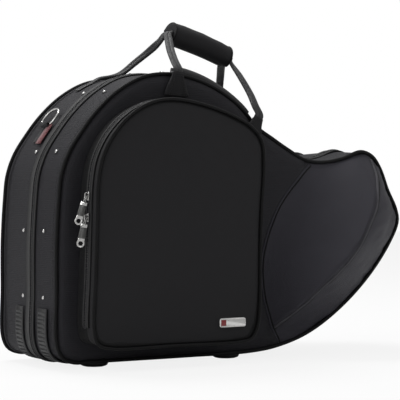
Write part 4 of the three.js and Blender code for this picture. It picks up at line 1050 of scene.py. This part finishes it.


# Front pocket: a gusset of nylon sewn to the lid, darkened as painted shade under the pocket's panel,
# and a padded front panel of smooth fabric that is zipped to it, with a piped edge. Its zipper runs
# from corner to corner.
POCKET_LENGTH, POCKET_LEFT = 0.293, -0.28629
POCKET_HEIGHT, POCKET_FOOT = 0.362, 0.037
POCKET_SHARES = [
    (0.082, 0.003), (0.02, 0.022), (0, 0.077), (0.008, 0.265), (0.017, 0.486), (0.024, 0.657),
    (0.048, 0.757), (0.109, 0.851), (0.205, 0.931), (0.321, 0.983), (0.444, 1), (0.604, 0.986),
    (0.778, 0.948), (0.928, 0.892), (0.986, 0.837), (1, 0.751), (0.986, 0.569), (0.976, 0.348),
    (0.973, 0.155), (0.959, 0.058), (0.922, 0.011), (0.853, 0), (0.468, 0),
]
POCKET = [
    Vector((POCKET_LEFT + across * POCKET_LENGTH, POCKET_FOOT + up * POCKET_HEIGHT))
    for across, up in POCKET_SHARES
]
GUSSET_EDGE, DOOR_FOOT, DOOR_EDGE = -0.1123, -0.1129, -0.1379
POCKET_PARTING = (GUSSET_EDGE + DOOR_FOOT) / 2
POCKET_ZIPPER_ENDS = (2.02, 18.98)
POCKET_STEP = 5 * MILLIMETRE
POCKET_PIPING_RADIUS = 2.3 * MILLIMETRE
POCKET_PIPING_LIFT, POCKET_PIPING_SINK = 1.9 * MILLIMETRE, -1.5 * MILLIMETRE
POCKET_FLANGE = in_millimetres([(0.6, -0.9), (0.6, 0.9), (-9, 0.9), (-9, -0.9)])
FLANGE_SINK = 0.6 * MILLIMETRE
POCKET_STITCH, POCKET_STITCH_SINK, POCKET_STITCH_LIFT = (0.0013, 0.0004, 0.0004), 0.0050, 0.0003
POCKET_STITCH_PITCH = 4 * MILLIMETRE
PANEL_RIPPLES = ((9, 0.0012), (28, 0.0004))
PANEL_EDGE_BAND = 0.5 * MILLIMETRE
on_pocket = (POCKET, 0.0)

# The gusset's cloth is darker than the shell's, as painted shade under the pocket.
gusset_shaded_cloth = fabric(
    "gusset_nylon_painted_shade", (0.005, 0.005, 0.0055), (0.012, 0.012, 0.013), 0.0014, 0.0002, 0.6, ribs=0.4,
)
gusset = finer("pocket_gusset", 2, sharp=50, amount=0.8)
piece(gusset, "pocket_gusset_cloth", "lid", gusset_shaded_cloth, "ballistic", "pocket_gusset")
panel = finer("pocket_door", 2, sharp=40, amount=0.75)
for vertex in panel.verts:
    if vertex.co.y < PARTING + DOOR_EDGE - PANEL_EDGE_BAND:
        vertex.co.y -= rippled(vertex.co, PANEL_RIPPLES)
piece(panel, "pocket_front", "pocket_door", soft_fabric, "smooth_fabric", "pocket_door")

turns = len(POCKET)
cord = walk(0, turns, POCKET_STEP, DOOR_EDGE + POCKET_PIPING_SINK, POCKET_PIPING_LIFT, *on_pocket)
cord = cord_along(cord, POCKET_PIPING_RADIUS, 12, closed=True)
piece(cord, "pocket_piping_cord", "pocket_door", piping_cover, "piping", "pocket_piping")
flange = walk(0, turns, POCKET_STEP, DOOR_EDGE + FLANGE_SINK, 0.0, *on_pocket)
flange = swept(POCKET_FLANGE, flange, closed=True)
piece(flange, "pocket_piping_flange", "pocket_door", piping_cover, "piping")
seam = walk(0, turns, POCKET_STITCH_PITCH, DOOR_EDGE + POCKET_STITCH_SINK, POCKET_STITCH_LIFT, *on_pocket)
sewn(seam, "pocket_edge_stitches", "pocket_door", "piping", POCKET_STITCH)
for name, side, body in (("gusset", 1, "lid"), ("door", -1, "pocket_door")):
    word = f"pocket_{name}"
    zipper_side(
        word, f"{word}_zipper", f"{word}_tape", body, side, 8.5, POCKET_ZIPPER_ENDS, POCKET_STEP,
        1.1 * MILLIMETRE, {"": 5.2}, POCKET_PARTING, on_pocket,
    )


# Badge: a small plain plate of polished nickel on the pocket's front, with a raised border and a
# square of red enamel let into its left end.
FIELD_PLACE, FIELD_HALF = (-0.0165, -0.0001, 0), (0.0045, 0.0005, 0.0045)
RAIL_RISE, RAIL_SINK, RAIL_HALF = 5.8 * MILLIMETRE, -0.2 * MILLIMETRE, (0.0212, 0.0006, 0.0006)


def add_block(work, place, half):
    """A box at a place, with its half sizes."""
    bmesh.ops.create_cube(work, size=2.0, matrix=place @ Matrix.Diagonal((*half, 1)))


plate = joined_copy("badge", 10)
eased(plate, plate.edges, 0.4 * MILLIMETRE)
piece(plate, "badge_plate", "pocket_door", nickel, "nickel", "badge")

enamel, wire = new_material("red_enamel")
cloud = clouds(wire, 240.0, 2.0)
coated(wire, (0.16, 0.012, 0.014), (0.30, 0.03, 0.035), cloud, cloud * 0.1 + 0.2)
low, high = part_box("badge")
badge_middle = Vector(((low[0] + high[0]) / 2, low[1], (low[2] + high[2]) / 2))
for name, offset, half, material in (
    ("badge_field", FIELD_PLACE, FIELD_HALF, enamel),
    ("badge_rail_top", (0, RAIL_SINK, RAIL_RISE), RAIL_HALF, nickel),
    ("badge_rail_foot", (0, RAIL_SINK, -RAIL_RISE), RAIL_HALF, nickel),
):
    tile = bmesh.new()
    add_block(tile, Matrix.Translation(badge_middle + Vector(offset)), half)
    eased(tile, tile.edges, 0.3 * MILLIMETRE)
    piece(tile, name, "pocket_door", material, "nickel")


# Sliders and pulls: cast nickel sliders, each with a stamped pull that ends in a ring. A satin
# block with cross ribs is cast on the middle of each pull, for the fingers.
PIN_LIFT = 6 * MILLIMETRE
PULLS = {
    "pocket_{}_upper": (4.69, POCKET_PARTING, on_pocket, 0.28, 0.9, 44),
    "pocket_{}_lower": (4.19, POCKET_PARTING, on_pocket, 0.2, 0.9, 44),
    "main_{}_left": (14.12, 0.0, (), 0.0, 0.0, 34),
    "main_{}_right": (14.95, 0.0, (), math.pi, 0.0, 34),
}
BLOCK_START, RING_LENGTH = -14.5, 13.0
BLOCK_HALF_THICKNESS, BLOCK_HALF_WIDTH = 1.05 * MILLIMETRE, 5.0 * MILLIMETRE
RIB_HALF, RIB_PITCH = (0.00042, 0.0014, 0.0042), 1.7
CAST_SHARP, CAST_ROUND, BLOCK_ROUND = 50, 0.3 * MILLIMETRE, 0.5 * MILLIMETRE

cast_nickel, wire = new_material("satin_nickel")
cloud = clouds(wire, 320.0)
coated(wire, (0.09, 0.09, 0.09), (0.17, 0.17, 0.165), cloud, cloud * 0.15 + 0.32, None, {"Metallic": 1.0})
for words, (number, depth, wall, tilt, twist, length) in PULLS.items():
    slider, pull = words.format("slider"), words.format("pull")
    for node in (slider, pull):
        cast = joined_copy(node, 15)
        sharp = [
            edge for edge in cast.edges
            if len(edge.link_faces) == 2 and edge.calc_face_angle() > math.radians(CAST_SHARP)
        ]
        eased(cast, sharp, CAST_ROUND)
        piece(cast, f"{node}_cast", node, nickel, "nickel", node)
    tab = wall_frame(number, depth, PIN_LIFT, *wall)
    tab = tab @ Matrix.Rotation(-tilt, 4, "Z") @ Matrix.Rotation(twist, 4, "X")
    block_end = RING_LENGTH - length
    span, middle = BLOCK_START - block_end, (BLOCK_START + block_end) / 2
    half = (span / 2 * MILLIMETRE, BLOCK_HALF_THICKNESS, BLOCK_HALF_WIDTH)
    grip = bmesh.new()
    add_block(grip, tab @ Matrix.Translation((middle * MILLIMETRE, 0, 0)), half)
    eased(grip, grip.edges, BLOCK_ROUND)
    count = int(span / RIB_PITCH)
    for k in range(count):
        along = (BLOCK_START - (k + 0.5) * span / count) * MILLIMETRE
        add_block(grip, tab @ Matrix.Translation((along, 0, 0)), RIB_HALF)
    piece(grip, f"{pull}_grip", pull, cast_nickel, "nickel")


# Foam blocks: plush-covered foam that carries the horn's coil and its bell in the base, and a
# round pad in the lid that presses on the horn. Each starts a little small and is then blown up
# as cloth, so that its faces crown and its sides pull in between the corners.
COVER_SHRINK, SWELL_CAP = 1.6 * MILLIMETRE, 3.2 * MILLIMETRE
COVER_PRESSURE, COVER_QUALITY, COVER_FRAMES = 4.0, 6, 20
NO_MOVE = 1e-9
CUSHIONS = {
    "corner_block": ("base", 0.005), "bell_saddle": ("base", 0.005), "bell_chock": ("base", 0.004),
    "lid_pad": ("lid", 0.005),
}


def blown_up(work, voxel):
    """The shape after its cover has been blown up over the foam, each point moving a little."""
    work.normal_update()
    for vertex in work.verts:
        vertex.co -= vertex.normal * COVER_SHRINK
    mesh = bpy.data.meshes.new("cover")
    work.to_mesh(mesh)
    work.free()
    holder = bpy.data.objects.new("cover", mesh)
    scene.collection.objects.link(holder)
    even = holder.modifiers.new("even", "REMESH")
    even.mode = "VOXEL"
    even.voxel_size = voxel
    bpy.context.view_layer.update()
    start = bpy.data.meshes.new_from_object(holder.evaluated_get(bpy.context.evaluated_depsgraph_get()))
    holder.modifiers.remove(even)
    holder.data = start
    cloth = holder.modifiers.new("cloth", "CLOTH")
    cloth.settings.quality = COVER_QUALITY
    cloth.settings.use_pressure = True
    cloth.settings.uniform_pressure_force = COVER_PRESSURE
    cloth.settings.effector_weights.gravity = 0.0
    cloth.point_cache.frame_start, cloth.point_cache.frame_end = 1, COVER_FRAMES
    for frame_number in range(1, COVER_FRAMES + 1):
        scene.frame_set(frame_number)
    settled = holder.evaluated_get(bpy.context.evaluated_depsgraph_get()).to_mesh()
    done = bmesh.new()
    done.from_mesh(start)
    for vertex, after in zip(done.verts, settled.vertices):
        move = after.co - vertex.co
        vertex.co += move * min(1.0, SWELL_CAP / max(move.length, NO_MOVE))
    scene.frame_set(1)
    bpy.data.objects.remove(holder)
    return smoothed(done, 1)


for node, (body, voxel) in CUSHIONS.items():
    block = finer(node, 2, sharp=35, amount=0.55, flat=20)
    block = blown_up(block, voxel)
    padded = piece(block, f"{node}_cushion", body, plush, "foam_block", node)


size = {"cad": [list(corner) for corner in cad_box], "visual": [list(corner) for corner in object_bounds()]}
